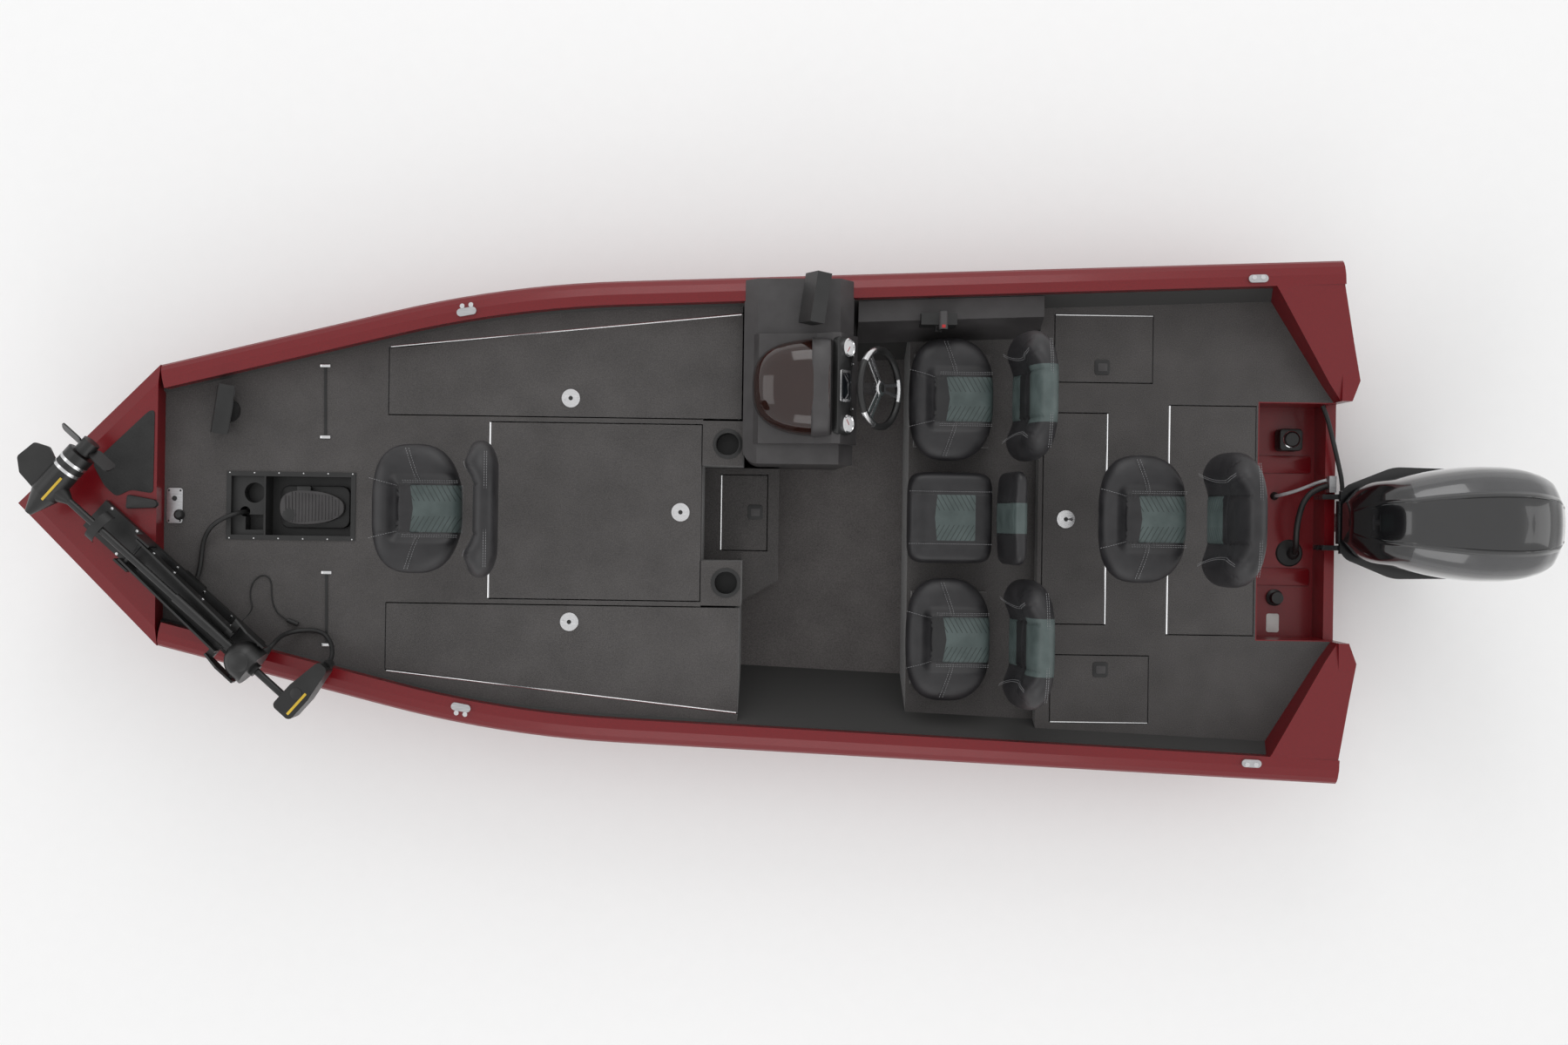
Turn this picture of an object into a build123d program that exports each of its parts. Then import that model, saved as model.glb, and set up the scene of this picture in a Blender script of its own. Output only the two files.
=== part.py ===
"""A 17 ft aluminium bass fishing boat with its outboard and its bow-mounted electric motor.

Millimetres. +X runs aft, +Y to starboard, +Z up. The origin is on the centreline,
half way along the hull, at the height of the calm waterline.
"""
from build123d import *
import math
import os

# ---- hull: plan outline -------------------------------------------------------
hull_length = 5200.0        # bow tip to the transom's outer face
beam = 2040.0               # over the gunwales at the stern
bow_run = 547.0             # length of the square pointed bow along X, and its half width
knee_from_bow = 1890.0      # where the straight fore side meets the straight aft side
knee_inset = 140.0          # how far inside the stern half beam that meeting point lies
knee_radius = 4500.0
gunwale_end_gap = 55.0      # the gunwales stop this far short of the transom face
sponson_reach = 30.0        # the stern corners stand this far aft of the transom face
sponson_y = 555.0
notch_y = 475.0             # half width of the low middle of the transom

# ---- hull: heights, all from the waterline ------------------------------------
keel_z = -200.0
chine_z = -35.0
floor_z = 10.0
side_top_z = 500.0
gunwale_z = 560.0
bow_deck_z = 480.0
aft_deck_z = 400.0
seat_box_z = 330.0
step_z = 240.0
transom_notch_z = 310.0
well_floor_z = 170.0
bow_fill_z = 370.0          # foam under the fore deck
bow_fill_from_bow = 1400.0

# ---- hull: plates and panels --------------------------------------------------
gunwale_width = 95.0
chine_ratio = 0.76          # chine half beam over gunwale half beam, amidships and aft
plate_inset = 6.0           # the side plate hangs this far inside the gunwale's edge
liner_inset_top = 97.0      # cockpit liner, inside the outline, at the side's top
liner_lean = 0.386          # further inset per millimetre of depth
transom_thickness = 40.0
deck_thickness = 25.0
panel_thickness = 18.0
bin_wall = 6.0
lid_gap = 5.0
lid_rest_gap = 1.0

# ---- decks: places along the hull ---------------------------------------------
bulkhead_from_bow = 2657.0  # the bow deck's middle ends here
locker_end_gap = 151.0      # the side lockers run this much further aft
locker_from_bow = 1424.0    # the lids' fore edge
locker_inner_y = 372.0
locker_hinge_inset = 135.0
centre_lid_length = 826.0
centre_lid_half = 345.0
cup_block_width = 175.0
cup_block_length = 157.0
cup_radius = 46.0
cup_depth = 95.0
step_length = 301.0
step_port_y = 358.0
step_chamfer = 152.0
step_lid_length = 184.0
step_lid_width = 303.0
seat_box_from_transom = 1722.0
aft_deck_from_transom = 1210.0
aft_lid_from_transom = 1150.0
aft_lid_length = 386.0
aft_lid_inner_y = 545.0
aft_lid_outer_y = 808.0
livewell_from_transom = 942.0   # its hinge, at the aft edge
livewell_length = 247.0
livewell_half = 418.0
battery_from_transom = 690.0    # its hinge, at the fore edge
battery_length = 340.0
battery_half = 454.0
well_length = 339.0             # splash well, forward of the transom's face

# ---- console -------------------------------------------------------------------
console_inner_y = 193.0
console_outer_y = 905.0

# ---- seats ---------------------------------------------------------------------
seat_width = 490.0
seat_depth = 340.0
seat_thickness = 115.0
seat_corner = 120.0
back_width = 500.0
back_height = 430.0
back_thickness = 85.0
back_wing = 40.0
back_lean = 11.0            # degrees aft of upright
back_gap = 6.0              # clear space between a cushion and its backrest
back_foot = 60.0            # a back's foot above its cushion's underside
back_hinge_in = 25.0        # the fold's axis behind the back's hollow face
back_hinge_up = 33.0        # and above the cushion, past the wings
centre_seat_width = 362.0
centre_back_height = 330.0
centre_back_thickness = 60.0
centre_back_lean = 6.0
pedestal_height = 245.0     # deck to the underside of a fishing seat's cushion
socket_radius = 88.0
socket_height = 12.0
seat_plate = 8.0
bow_eye_z = 330.0
bow_eye_hole = 13.0
bow_eye_plate = 12.0
bow_seat_from_bow = 1627.0   # the post's axis
aft_seat_from_transom = 840.0
post_setback = 190.0        # the post's axis aft of the cushion's fore edge
post_radius = 30.0
bench_rise = 60.0           # seat box top to a cockpit cushion's underside
driver_y = 463.0
passenger_y = -484.0
centre_seat_y = -4.0

# ---- outboard ------------------------------------------------------------------
tilt_z = 368.0
tilt_limit = 62.0           # degrees
tilt_x_gap = 10.0           # tilt tube aft of the transom's outer face
steer_x_gap = 92.0          # swivel tube aft of the transom's outer face
cowl_length = 735.0
cowl_width = 440.0
cowl_low_z = 430.0
cowl_top_z = 985.0
cowl_front_gap = -38.0      # the cowl's front against the transom's outer face
cowl_rake = 240.0           # the cowl's top stands this far aft of its front edge
cowl_wall_front = 130.0     # the hollow over the powerhead, aft of the transom's face
powerhead_gap = 15.0
leg_top_z = 425.0
plate_z = -222.0            # anti-ventilation plate
gear_z = -410.0
gear_x_gap = 235.0
prop_radius = 168.0
prop_gap = 4.0

# ---- bow motor, in its own frame: X forward along the rail, Y to port and ahead --
motor_axis_z = 700.0
rail_turn = 41.4            # degrees between the rail and the centreline
motor_pivot_x_from_bow = 491.0
motor_pivot_y = -186.0
motor_pivot_drop = 60.0     # the pivot pin under the stowed shaft's axis
motor_pin_radius = 8.0
pin_clearance = 0.05
rail_fore = 230.0           # the rail's ends, ahead of and behind the pivot
rail_aft = 590.0
rail_half = 66.0
rail_height = 28.0
rail_foot_fore = 160.0      # the foot on the deck, behind the pivot
rail_foot = 100.0
cheek_plate = 8.0
cheek_half = 35.0
cheek_rise = 22.0           # the cheeks' top over the pivot's axis
arm_length = 604.0          # pivot to the steering housing's trunnions
arm_half = 54.0             # outside of the arm's side plates
arm_plate = 8.0
arm_end = 500.0             # the side plates end this far behind the pivot
fork_half = 92.0            # outside of the fork beside the steering housing
fork_reach = 24.0           # the fork's plates behind and above the trunnions
shaft_run = 986.0           # housing to pod
housing_radius = 76.0
housing_aft = 45.0          # the drum behind the trunnions; a dome stands ahead of them
collar_radius = 26.0
collar_length = 16.0
sleeve_radius = 19.0
sleeve_end = 248.0          # the sleeve ends this far behind the pivot
deploy_turn = 144.3         # degrees the arm turns over the bow
collar_turn = -54.3         # degrees the housing turns back on it, so the shaft hangs upright
motor_shaft_radius = 14.0
pod_radius = 55.0
pod_aft = 165.0             # the pod's barrel, behind and ahead of the shaft's axis
pod_fore = 40.0
pod_nose = 96.0
skeg_thickness = 12.0
motor_prop_radius = 125.0
motor_prop_hub = 34.0
head_gap = 240.0            # housing to control head
head_height = 90.0          # along the shaft
head_width = 92.0
head_fore = 45.0            # the head's blunt end, and its narrow end
head_aft = 195.0

# ---- free cables, hoses and ropes -----------------------------------------------
pedal_cable = 18.0          # diameters
head_cable = 18.0
pull_rope = 5.0
engine_harness = 24.0
fuel_hose = 14.0
steering_cable = 18.0
cable_hole = 20.0           # radius of the hole in the pedal tray's shelf
grip_length = 44.0

bow_x = -hull_length / 2
transom_x = hull_length / 2
stern_half = beam / 2
shoulder_x = bow_x + bow_run
shoulder_y = bow_run
knee_x = bow_x + knee_from_bow
knee_y = stern_half - knee_inset
stern_x = transom_x - gunwale_end_gap
bulkhead_x = bow_x + bulkhead_from_bow
locker_end_x = bulkhead_x + locker_end_gap
seat_box_x = transom_x - seat_box_from_transom
aft_deck_x = transom_x - aft_deck_from_transom
inner_transom_x = transom_x - transom_thickness
well_x = transom_x - well_length


def line_y(x, x0, y0, x1, y1):
    """Height of the straight line through two points, at x."""
    return y0 + (y1 - y0) * (x - x0) / (x1 - x0)


def half_beam(x):
    """Half width of the plan outline at x, with the knee's arc."""
    if x < shoulder_x:
        return x - bow_x
    fore = line_y(x, shoulder_x, shoulder_y, knee_x, knee_y)
    aft = line_y(x, knee_x, knee_y, stern_x, stern_half)
    turn_fore = math.atan2(knee_y - shoulder_y, knee_x - shoulder_x)
    turn_aft = math.atan2(stern_half - knee_y, stern_x - knee_x)
    reach = knee_radius * math.tan((turn_fore - turn_aft) / 2)
    start_x = knee_x - reach * math.cos(turn_fore)
    end_x = knee_x + reach * math.cos(turn_aft)
    if x <= start_x:
        return fore
    if x >= end_x:
        return aft
    start_y = knee_y - reach * math.sin(turn_fore)
    centre_x = start_x + knee_radius * math.sin(turn_fore)
    centre_y = start_y - knee_radius * math.cos(turn_fore)
    return centre_y + math.sqrt(knee_radius ** 2 - (x - centre_x) ** 2)


def prism(points, low, high):
    """A straight prism on a plan polygon, from low to high."""
    return Pos(0, 0, low) * extrude(make_face(Polyline(*points, close=True)), high - low)


def block(x0, x1, y0, y1, z0, z1):
    """A box between two opposite corners."""
    return Pos((x0 + x1) / 2, (y0 + y1) / 2, (z0 + z1) / 2) * Box(x1 - x0, y1 - y0, z1 - z0)


def rod(start, end, radius):
    """A round bar between two points."""
    a = Vector(*start)
    b = Vector(*end)
    plane = Plane(origin=a, z_dir=b - a)
    return plane * Cylinder(radius, (b - a).length, align=(Align.CENTER, Align.CENTER, Align.MIN))


def both_sides(shape):
    """The shape and its mirror image in the centreline plane."""
    return [shape, shape.mirror(Plane.XZ)]


def plan(inset, z, x0, x1):
    """The hull's plan between x0 and x1, its sides moved in by inset, at height z."""
    side = [
        (x0, line_y(x0, shoulder_x, shoulder_y, knee_x, knee_y) - inset),
        (knee_x, knee_y - inset),
        (x1, line_y(x1, knee_x, knee_y, stern_x, stern_half) - inset),
    ]
    corners = side + [(x, -y) for x, y in reversed(side)]
    face = make_face(Polyline(*corners, close=True))
    knees = [v for v in face.vertices() if abs(v.X - knee_x) < 1]
    return Pos(0, 0, z) * fillet(knees, knee_radius)


def liner_inset(z):
    """How far inside the outline the cockpit liner stands at height z."""
    return liner_inset_top + (side_top_z - z) * liner_lean


def inside(z0, z1, extra=0.0, x0=None, x1=None):
    """The space between the side liners from z0 to z1, less a margin at each side."""
    low = shoulder_x if x0 is None else x0
    high = inner_transom_x if x1 is None else x1
    bottom = plan(liner_inset(z0) + extra, z0, shoulder_x, inner_transom_x)
    top = plan(liner_inset(z1) + extra, z1, shoulder_x, inner_transom_x)
    space = loft([bottom, top], ruled=True)
    if x0 is None and x1 is None:
        return space
    return space & block(low, high, -beam, beam, z0, z1)


def taper(x, start, power):
    """0 aft of start, rising to 1 at the bow tip."""
    if x >= start:
        return 0.0
    return ((start - x) / (start - bow_x)) ** power


def hull_section(x):
    """Keel, chines and sheer of the hull at x, as a plan-normal face."""
    sheer_y = max(half_beam(x) - plate_inset, 8.0)
    ratio = chine_ratio - 0.30 * taper(x, knee_x, 1.5)
    low = keel_z + (430.0 - keel_z) * taper(x, bow_x + 1600.0, 2.4)
    chine = chine_z + (445.0 - chine_z) * taper(x, knee_x, 2.0)
    side = [(sheer_y, side_top_z), (ratio * sheer_y, chine), (0.0, low)]
    points = side + [(-y, z) for y, z in reversed(side[:-1])]
    return make_face(Polyline(*[(x, y, z) for y, z in points], close=True))


def hull_form():
    """The whole outside of the hull below the gunwales, as one solid."""
    fore = [bow_x + 12.0, bow_x + 150.0, bow_x + 330.0, shoulder_x]
    mid = [shoulder_x + 300.0, shoulder_x + 600.0, knee_x - 440.0, knee_x - 200.0, knee_x]
    aft = [knee_x + 230.0, knee_x + 450.0, transom_x + sponson_reach + 20.0]
    form = loft([hull_section(x) for x in fore + mid + aft], ruled=True)
    stern = [
        (bow_x, beam),
        (stern_x, beam),
        (stern_x, stern_half),
        (transom_x + sponson_reach, sponson_y),
        (transom_x, notch_y),
    ]
    ends = stern + [(x, -y) for x, y in reversed(stern)]
    return form & prism(ends, keel_z - 50, side_top_z)


def hull_parts(form):
    """Bottom, sides, bow and transom, cut from the hull's form."""
    seam = floor_z - 20.0
    far = hull_length
    bottom = form & block(-far, far, -beam, beam, keel_z - 50, seam)
    upper = form & block(-far, far, -beam, beam, seam, side_top_z)
    fore = block(-far, shoulder_x, -beam, beam, seam, side_top_z)
    fore = fore + block(-far, bow_x + bow_fill_from_bow, -beam, beam, seam, bow_fill_z)
    bow = upper & fore
    rest = upper - fore
    stern = rest & block(inner_transom_x, far, -beam, beam, seam, side_top_z)
    notch = block(inner_transom_x - 1, far, -notch_y, notch_y, transom_notch_z, side_top_z + 1)
    walls = rest - block(inner_transom_x, far, -beam, beam, seam, side_top_z)
    walls = walls - inside(seam, side_top_z)
    return {
        "hull_bottom": bottom + bow,
        "hull_sides": walls,
        "transom": stern - notch,
    }


def gunwale_profile():
    """The gunwale's section: round outer shoulder, flat inner strip. X is inward, Y is up."""
    lip = gunwale_z - side_top_z
    outline = Polyline(
        (0, 0), (0, lip - 34), (8, lip - 22), (26, lip - 9), (56, lip),
        (gunwale_width, lip), (gunwale_width, 0), close=True,
    )
    return make_face(outline)


def gunwale():
    """The starboard gunwale, along the side's outline from the bow's shoulder to the stern."""
    start = (shoulder_x, shoulder_y, side_top_z)
    knee = (knee_x, knee_y, side_top_z)
    end = (stern_x, stern_half, side_top_z)
    path = FilletPolyline(start, knee, end, radius=knee_radius)
    ahead = Vector(*knee) - Vector(*start)
    inward = Vector(ahead.Y, -ahead.X, 0)
    section = Plane(origin=start, x_dir=inward, z_dir=-ahead) * gunwale_profile()
    return sweep(section, path)


def bow_plate():
    """The folded plate that covers the pointed bow."""
    points = [(bow_x, 0), (shoulder_x, shoulder_y), (shoulder_x, -shoulder_y)]
    plate = prism(points, side_top_z, gunwale_z)
    edges = [e for e in plate.edges() if e.center().Z > gunwale_z - 1 and abs(e.center().Y) > 1]
    return chamfer(edges, 22.0, 50.0)


def stern_cap(walls, rail):
    """A folded starboard corner plate, falling from the gunwale to the sponson and the deck."""
    inner_y = half_beam(stern_x) - gunwale_width
    fore_x = transom_x - 320.0
    fore_y = half_beam(fore_x) - gunwale_width
    aft_x = transom_x + sponson_reach
    points = [(fore_x, fore_y), (stern_x, inner_y), (aft_x, sponson_y), (transom_x, notch_y),
              (inner_transom_x, notch_y), (transom_x - 90.0, sponson_y - 10.0)]
    body = prism(points, aft_deck_z, gunwale_z)
    slope = Plane(origin=(stern_x, inner_y, gunwale_z - 4), z_dir=(0.03, -0.16, 1.0))
    body = body - slope * (Pos(0, 0, 500) * Box(4000, 4000, 1000))
    under = block(inner_transom_x, transom_x + 200, -beam, beam, 0, side_top_z)
    return body - under - walls - rail


def lid_slab(points, top, thickness):
    """A flat lid on a plan polygon, its top at the deck's height."""
    return prism(points, top - thickness, top)


def grow(points, margin):
    """A convex plan polygon with each side moved out by margin."""
    face = make_face(Polyline(*points, close=True))
    return offset(face, amount=margin, kind=Kind.INTERSECTION)


def opening(points, top, margin):
    """A cutter through a deck round a lid, with the gap that the lid runs in."""
    return Pos(0, 0, top - 60) * extrude(grow(points, margin), 120)


def locker_lid_points():
    """Starboard side locker's lid: a straight hinge line near the gunwale."""
    x0 = bow_x + locker_from_bow
    x1 = locker_end_x
    y0 = half_beam(x0) - locker_hinge_inset
    y1 = half_beam(x1) - locker_hinge_inset
    return [(x0, locker_inner_y), (x1, locker_inner_y), (x1, y1), (x0, y0)]


def rectangle(x0, x1, y0, y1):
    return [(x0, y0), (x1, y0), (x1, y1), (x0, y1)]


def lid_plans():
    """Every lid's plan polygon and the height of its top."""
    starboard = locker_lid_points()
    port = [(x, -y) for x, y in starboard]
    centre_x = bulkhead_x - lid_gap
    step_x = bulkhead_x + 69.0
    aft_x = transom_x - aft_lid_from_transom
    aft_x1 = aft_x + aft_lid_length
    well_x1 = transom_x - livewell_from_transom
    battery_x = transom_x - battery_from_transom
    half_step = step_lid_width / 2
    return {
        "rod_locker_lid_starboard": (starboard, bow_deck_z),
        "rod_locker_lid_port": (port, bow_deck_z),
        "centre_storage_lid": (
            rectangle(centre_x - centre_lid_length, centre_x, -centre_lid_half, centre_lid_half),
            bow_deck_z),
        "step_cooler_lid": (
            rectangle(step_x, step_x + step_lid_length, 5 - half_step, 5 + half_step), step_z),
        "aft_lid_starboard": (
            rectangle(aft_x, aft_x1, aft_lid_inner_y, aft_lid_outer_y), aft_deck_z),
        "aft_lid_port": (
            rectangle(aft_x, aft_x1, -aft_lid_outer_y, -aft_lid_inner_y), aft_deck_z),
        "livewell_lid": (
            rectangle(well_x1 - livewell_length, well_x1, -livewell_half, livewell_half),
            aft_deck_z),
        "battery_lid": (
            rectangle(battery_x, battery_x + battery_length, -battery_half, battery_half),
            aft_deck_z),
    }


def lids(plans):
    made = {}
    for name, (points, top) in plans.items():
        made[name] = lid_slab(points, top, deck_thickness)
    return made


def bow_deck(plans):
    """The carpeted bow deck, open under its lids and over the pedal tray."""
    low = bow_deck_z - deck_thickness
    deck = inside(low, bow_deck_z, x1=locker_end_x)
    cockpit = block(bulkhead_x, locker_end_x + 1, -locker_inner_y, locker_inner_y,
                    low - 1, bow_deck_z + 1)
    deck = deck - cockpit
    for name in ("rod_locker_lid_starboard", "rod_locker_lid_port", "centre_storage_lid"):
        points, top = plans[name]
        deck = deck - opening(points, top, lid_gap)
    x0, x1, y0, y1 = tray_box()
    return deck - block(x0, x1, y0, y1, low - 1, bow_deck_z + 1)


def tray_box():
    """Plan of the sunken foot-pedal tray."""
    x0 = bow_x + 800.0
    return x0, x0 + 490.0, -121.0, 130.0


def aft_deck(plans):
    """The aft deck with its fore riser, open under four lids and over the splash well."""
    low = aft_deck_z - deck_thickness
    deck = inside(low, aft_deck_z, x0=aft_deck_x)
    for name in ("aft_lid_starboard", "aft_lid_port", "livewell_lid", "battery_lid"):
        points, top = plans[name]
        deck = deck - opening(points, top, lid_gap)
    deck = deck - block(well_x, inner_transom_x + 1, -notch_y, notch_y, low - 1, aft_deck_z + 1)
    riser = inside(seat_box_z, low, x0=aft_deck_x, x1=aft_deck_x + panel_thickness)
    return deck + riser


def open_bin(outer, inner):
    """A bin: its outside less its inside, open at the top."""
    return outer - inner


def side_bin(points, top, bottom, x_margin):
    """A side locker's bin, its outer wall leaning with the hull's liner."""
    xs = [x for x, y in points]
    inner_y = min(y for x, y in points)
    x0 = min(xs) + x_margin
    x1 = max(xs) - x_margin
    rim = top - deck_thickness - lid_rest_gap
    outer = inside(bottom, rim, extra=4.0, x0=x0, x1=x1)
    outer = outer & block(x0, x1, inner_y + 4, beam, bottom, rim)
    limit = prism(points, bottom, rim)
    outer = outer & limit
    hollow = inside(bottom + bin_wall, rim + 1, extra=4.0 + bin_wall, x0=x0 + bin_wall,
                    x1=x1 - bin_wall)
    hollow = hollow & block(x0 + bin_wall, x1 - bin_wall, inner_y + 4 + bin_wall, beam,
                            bottom + bin_wall, rim + 1)
    inner_points = grow(points, -(x_margin + bin_wall))
    hollow = hollow & (Pos(0, 0, bottom) * extrude(inner_points, rim + 2 - bottom))
    return open_bin(outer, hollow)


def box_bin(points, top, bottom, margin):
    """A rectangular bin hung under a lid."""
    rim = top - deck_thickness - lid_rest_gap
    outer = Pos(0, 0, bottom) * extrude(grow(points, -margin), rim - bottom)
    hollow = Pos(0, 0, bottom + bin_wall) * extrude(grow(points, -margin - bin_wall), rim)
    return open_bin(outer, hollow)


def bow_bins(plans):
    """Two rod lockers and the centre locker."""
    lockers = both_sides(side_bin(locker_lid_points(), bow_deck_z, 190.0, 20.0))
    points, top = plans["centre_storage_lid"]
    return lockers + [box_bin(points, top, 140.0, 20.0)]


def aft_bins(plans):
    """Two side bins, the livewell and the battery bin."""
    made = both_sides(side_bin(plans["aft_lid_starboard"][0], aft_deck_z, 200.0, 12.0))
    for name, bottom in (("livewell_lid", 60.0), ("battery_lid", 90.0)):
        points, top = plans[name]
        made.append(box_bin(points, top, bottom, 12.0))
    return made


def forward_bulkhead():
    """The cockpit's fore wall: the middle panel and the ends of the two rod lockers."""
    high = bow_deck_z - deck_thickness - lid_rest_gap
    middle = block(bulkhead_x - panel_thickness, bulkhead_x, -locker_inner_y, locker_inner_y,
                   floor_z, high)
    x0 = locker_end_x - panel_thickness
    ends = inside(floor_z, high, x0=x0, x1=locker_end_x)
    return [middle] + [ends & block(x0, locker_end_x, locker_inner_y + 2, beam, floor_z, high),
                       ends & block(x0, locker_end_x, -beam, -locker_inner_y - 2, floor_z, high)]


def cup_blocks():
    """Two carpeted blocks at the cockpit's fore corners, each with a cup holder."""
    outer = 363.0
    x0 = bulkhead_x
    x1 = x0 + cup_block_length
    made = []
    for side, low in ((1, floor_z), (-1, step_z)):
        y0, y1 = sorted((side * outer, side * (outer - cup_block_width)))
        body = block(x0, x1, y0, y1, low, bow_deck_z)
        cup_x = x0 + 99.0
        cup_y = side * (outer - cup_block_width / 2 - 3)
        cup = Pos(cup_x, cup_y, bow_deck_z) * Cylinder(
            cup_radius, cup_depth, align=(Align.CENTER, Align.CENTER, Align.MAX))
        made.append(body - cup)
    return made


def step_box(plans):
    """The step into the bow, hollow as a cooler, with one corner cut off."""
    x0 = bulkhead_x
    x1 = x0 + step_length
    starboard = 363.0 - cup_block_width - 2
    points = [(x0, starboard), (x1, starboard), (x1, -step_port_y + 87.0),
              (x1 - step_chamfer, -step_port_y), (x0, -step_port_y)]
    body = prism(points, floor_z, step_z)
    lid, top = plans["step_cooler_lid"]
    body = body - opening(lid, top, lid_gap).intersect(
        block(x0, x1, -beam, beam, step_z - deck_thickness, step_z + 90))
    well = Pos(0, 0, floor_z + 20) * extrude(grow(lid, -8.0), step_z)
    return body - well


def seat_box():
    """The box that the three cockpit seats are fixed to."""
    return inside(floor_z, seat_box_z, x0=seat_box_x, x1=aft_deck_x)


def cockpit_floor():
    """The flat carpeted floor between the bow deck and the aft deck's riser."""
    return inside(floor_z - 20, floor_z, x0=bulkhead_x - panel_thickness, x1=aft_deck_x)


def splash_well():
    """The painted well ahead of the transom, into which the tilted outboard swings."""
    rim = 4.0
    outer = block(well_x, inner_transom_x, -notch_y, notch_y, well_floor_z - rim, aft_deck_z)
    inner = block(well_x + rim, inner_transom_x + 1, -notch_y + rim, notch_y - rim,
                  well_floor_z, aft_deck_z + 1)
    return outer - inner


def cable_hole_place():
    """Where the pedal's cable comes up through the tray's shelf, in plan."""
    x0, x1, y0, y1 = tray_box()
    return x0 + 58.0, y0 + 102.0


def pedal_tray():
    """The sunken tray for the foot pedal, with its raised rim and fore shelf."""
    x0, x1, y0, y1 = tray_box()
    rim = block(x0 - 8, x1 + 8, y0 - 8, y1 + 8, bow_deck_z, bow_deck_z + 4)
    body = block(x0, x1, y0, y1, bow_deck_z - 95, bow_deck_z) + rim
    well = block(x0 + 146, x1 - 10, y0 + 10, y1 - 10, bow_deck_z - 89, bow_deck_z + 5)
    shelf = block(x0 + 10, x0 + 140, y0 + 10, y1 - 10, bow_deck_z - 20, bow_deck_z + 5)
    cup = Pos(x0 + 95, y0 + 176, bow_deck_z) * Cylinder(40, 150)
    slot = block(x0 + 60, x0 + 130, y0 + 30, y0 + 90, bow_deck_z - 80, bow_deck_z)
    cup = cup & block(x0, x1, y0, y1, bow_deck_z - 80, bow_deck_z)
    x, y = cable_hole_place()
    hole = Pos(x, y, bow_deck_z - 45) * Cylinder(cable_hole, 70)
    return body - well - shelf - cup - slot - hole


def foot_pedal():
    """The bow motor's foot control: a ribbed plate on its low base."""
    x0, x1, y0, y1 = tray_box()
    base = block(x0 + 175, x1 - 25, y0 + 45, y1 - 28, bow_deck_z - 88, bow_deck_z - 60)
    plate = block(x0 + 185, x1 - 30, y0 + 55, y1 - 38, bow_deck_z - 60, bow_deck_z - 22)
    return fillet(base.edges().filter_by(Axis.Z), 30) + fillet(plate.edges().filter_by(Axis.Z), 25)


def console_span():
    """The room for the console: inside the liner, inside the gunwale, and over it."""
    low = inside(floor_z, side_top_z, extra=3.0)
    middle = plan(gunwale_width + 3, side_top_z, shoulder_x, inner_transom_x)
    middle = extrude(middle, gunwale_z + 4 - side_top_z)
    high = block(bow_x, transom_x, 0, beam, gunwale_z + 4, gunwale_z + 400)
    return low + middle + high


def console():
    """The helm console: a moulded pod from the floor to the dash, with a hump for the helm."""
    x0 = locker_end_x + 8
    shell = [
        (x0, floor_z), (x0, 560.0), (x0 + 55, 615.0), (x0 + 370, 640.0), (x0 + 425, 560.0),
        (x0 + 405, 430.0), (x0 + 375, floor_z),
    ]
    hump = [
        (x0 + 20, 560.0), (x0 + 60, 640.0), (x0 + 280, 680.0), (x0 + 340, 725.0),
        (x0 + 372, 720.0), (x0 + 440, 575.0), (x0 + 420, 500.0),
    ]
    shell = make_face(Polyline(*[(x, 0, z) for x, z in shell], close=True))
    hump = make_face(Polyline(*[(x, 0, z) for x, z in hump], close=True))
    pod = Pos(0, console_outer_y, 0) * extrude(
        shell, console_outer_y - console_inner_y, dir=(0, -1, 0))
    edges = pod.edges().filter_by(Axis.Z).group_by(Axis.Y)[0]
    pod = fillet(edges, 60.0)
    rise = Pos(0, 690, 0) * extrude(hump, 420, dir=(0, -1, 0))
    return ((pod + rise) & console_span()) + steering_column()


def console_side_panel():
    """The grey panel that carries the throttle, along the starboard side aft of the console."""
    x0 = locker_end_x + 8 + 445
    x1 = aft_deck_x - 2
    outer = inside(330.0, side_top_z, extra=3.0, x0=x0, x1=x1)
    inner = inside(330.0, side_top_z, extra=85.0, x0=x0 - 5, x1=x1 + 5)
    panel = outer - inner
    panel = panel & block(x0, x1, 0, beam, 330, side_top_z)
    return panel


def windscreen(pod):
    """The tinted screen over the dash: a low dome, open at its aft side."""
    x0 = locker_end_x + 45
    y = 483.0

    def dee(length, half, z, fore):
        face = make_face(Polyline(
            (x0 + 290, y + half), (x0 + fore + 60, y + half), (x0 + fore, y + half * 0.45),
            (x0 + fore, y - half * 0.45), (x0 + fore + 60, y - half), (x0 + 290, y - half),
            close=True))
        corners = [v for v in face.vertices() if v.X < x0 + 280]
        return Pos(0, 0, z) * fillet(corners, 45.0)

    outer = loft([dee(290, 186, 672.0, 0.0), dee(290, 130, 800.0, 105.0)])
    inner = loft([dee(290, 181, 671.0, 5.0), dee(290, 125, 795.0, 110.0)])
    inner = inner + (Pos(x0 + 290, y, 733) * Box(12, 240, 122))
    return outer - inner - pod


def steering_frame():
    """Centre and aft-up direction of the steering wheel's axis."""
    centre = Vector(locker_end_x + 533.0, 488.0, 620.0)
    axis = Vector(math.cos(math.radians(33)), 0, math.sin(math.radians(33)))
    return Plane(origin=centre, x_dir=(0, 1, 0), z_dir=axis)


def steering_wheel():
    """Rim, three spokes and hub."""
    rim = Torus(148, 14)
    hub = Cylinder(34, 34)
    wheel = rim + hub
    for turn in (90, 210, 330):
        spoke = Pos(74, 0, 0) * Box(148, 30, 9)
        wheel = wheel + Rot(0, 0, turn) * spoke
    return steering_frame() * wheel


def steering_column():
    """The short column between the dash and the wheel's hub."""
    plane = steering_frame()
    return plane * (Pos(0, 0, -17 - 1 - 30) * Cylinder(24, 60))


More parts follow.
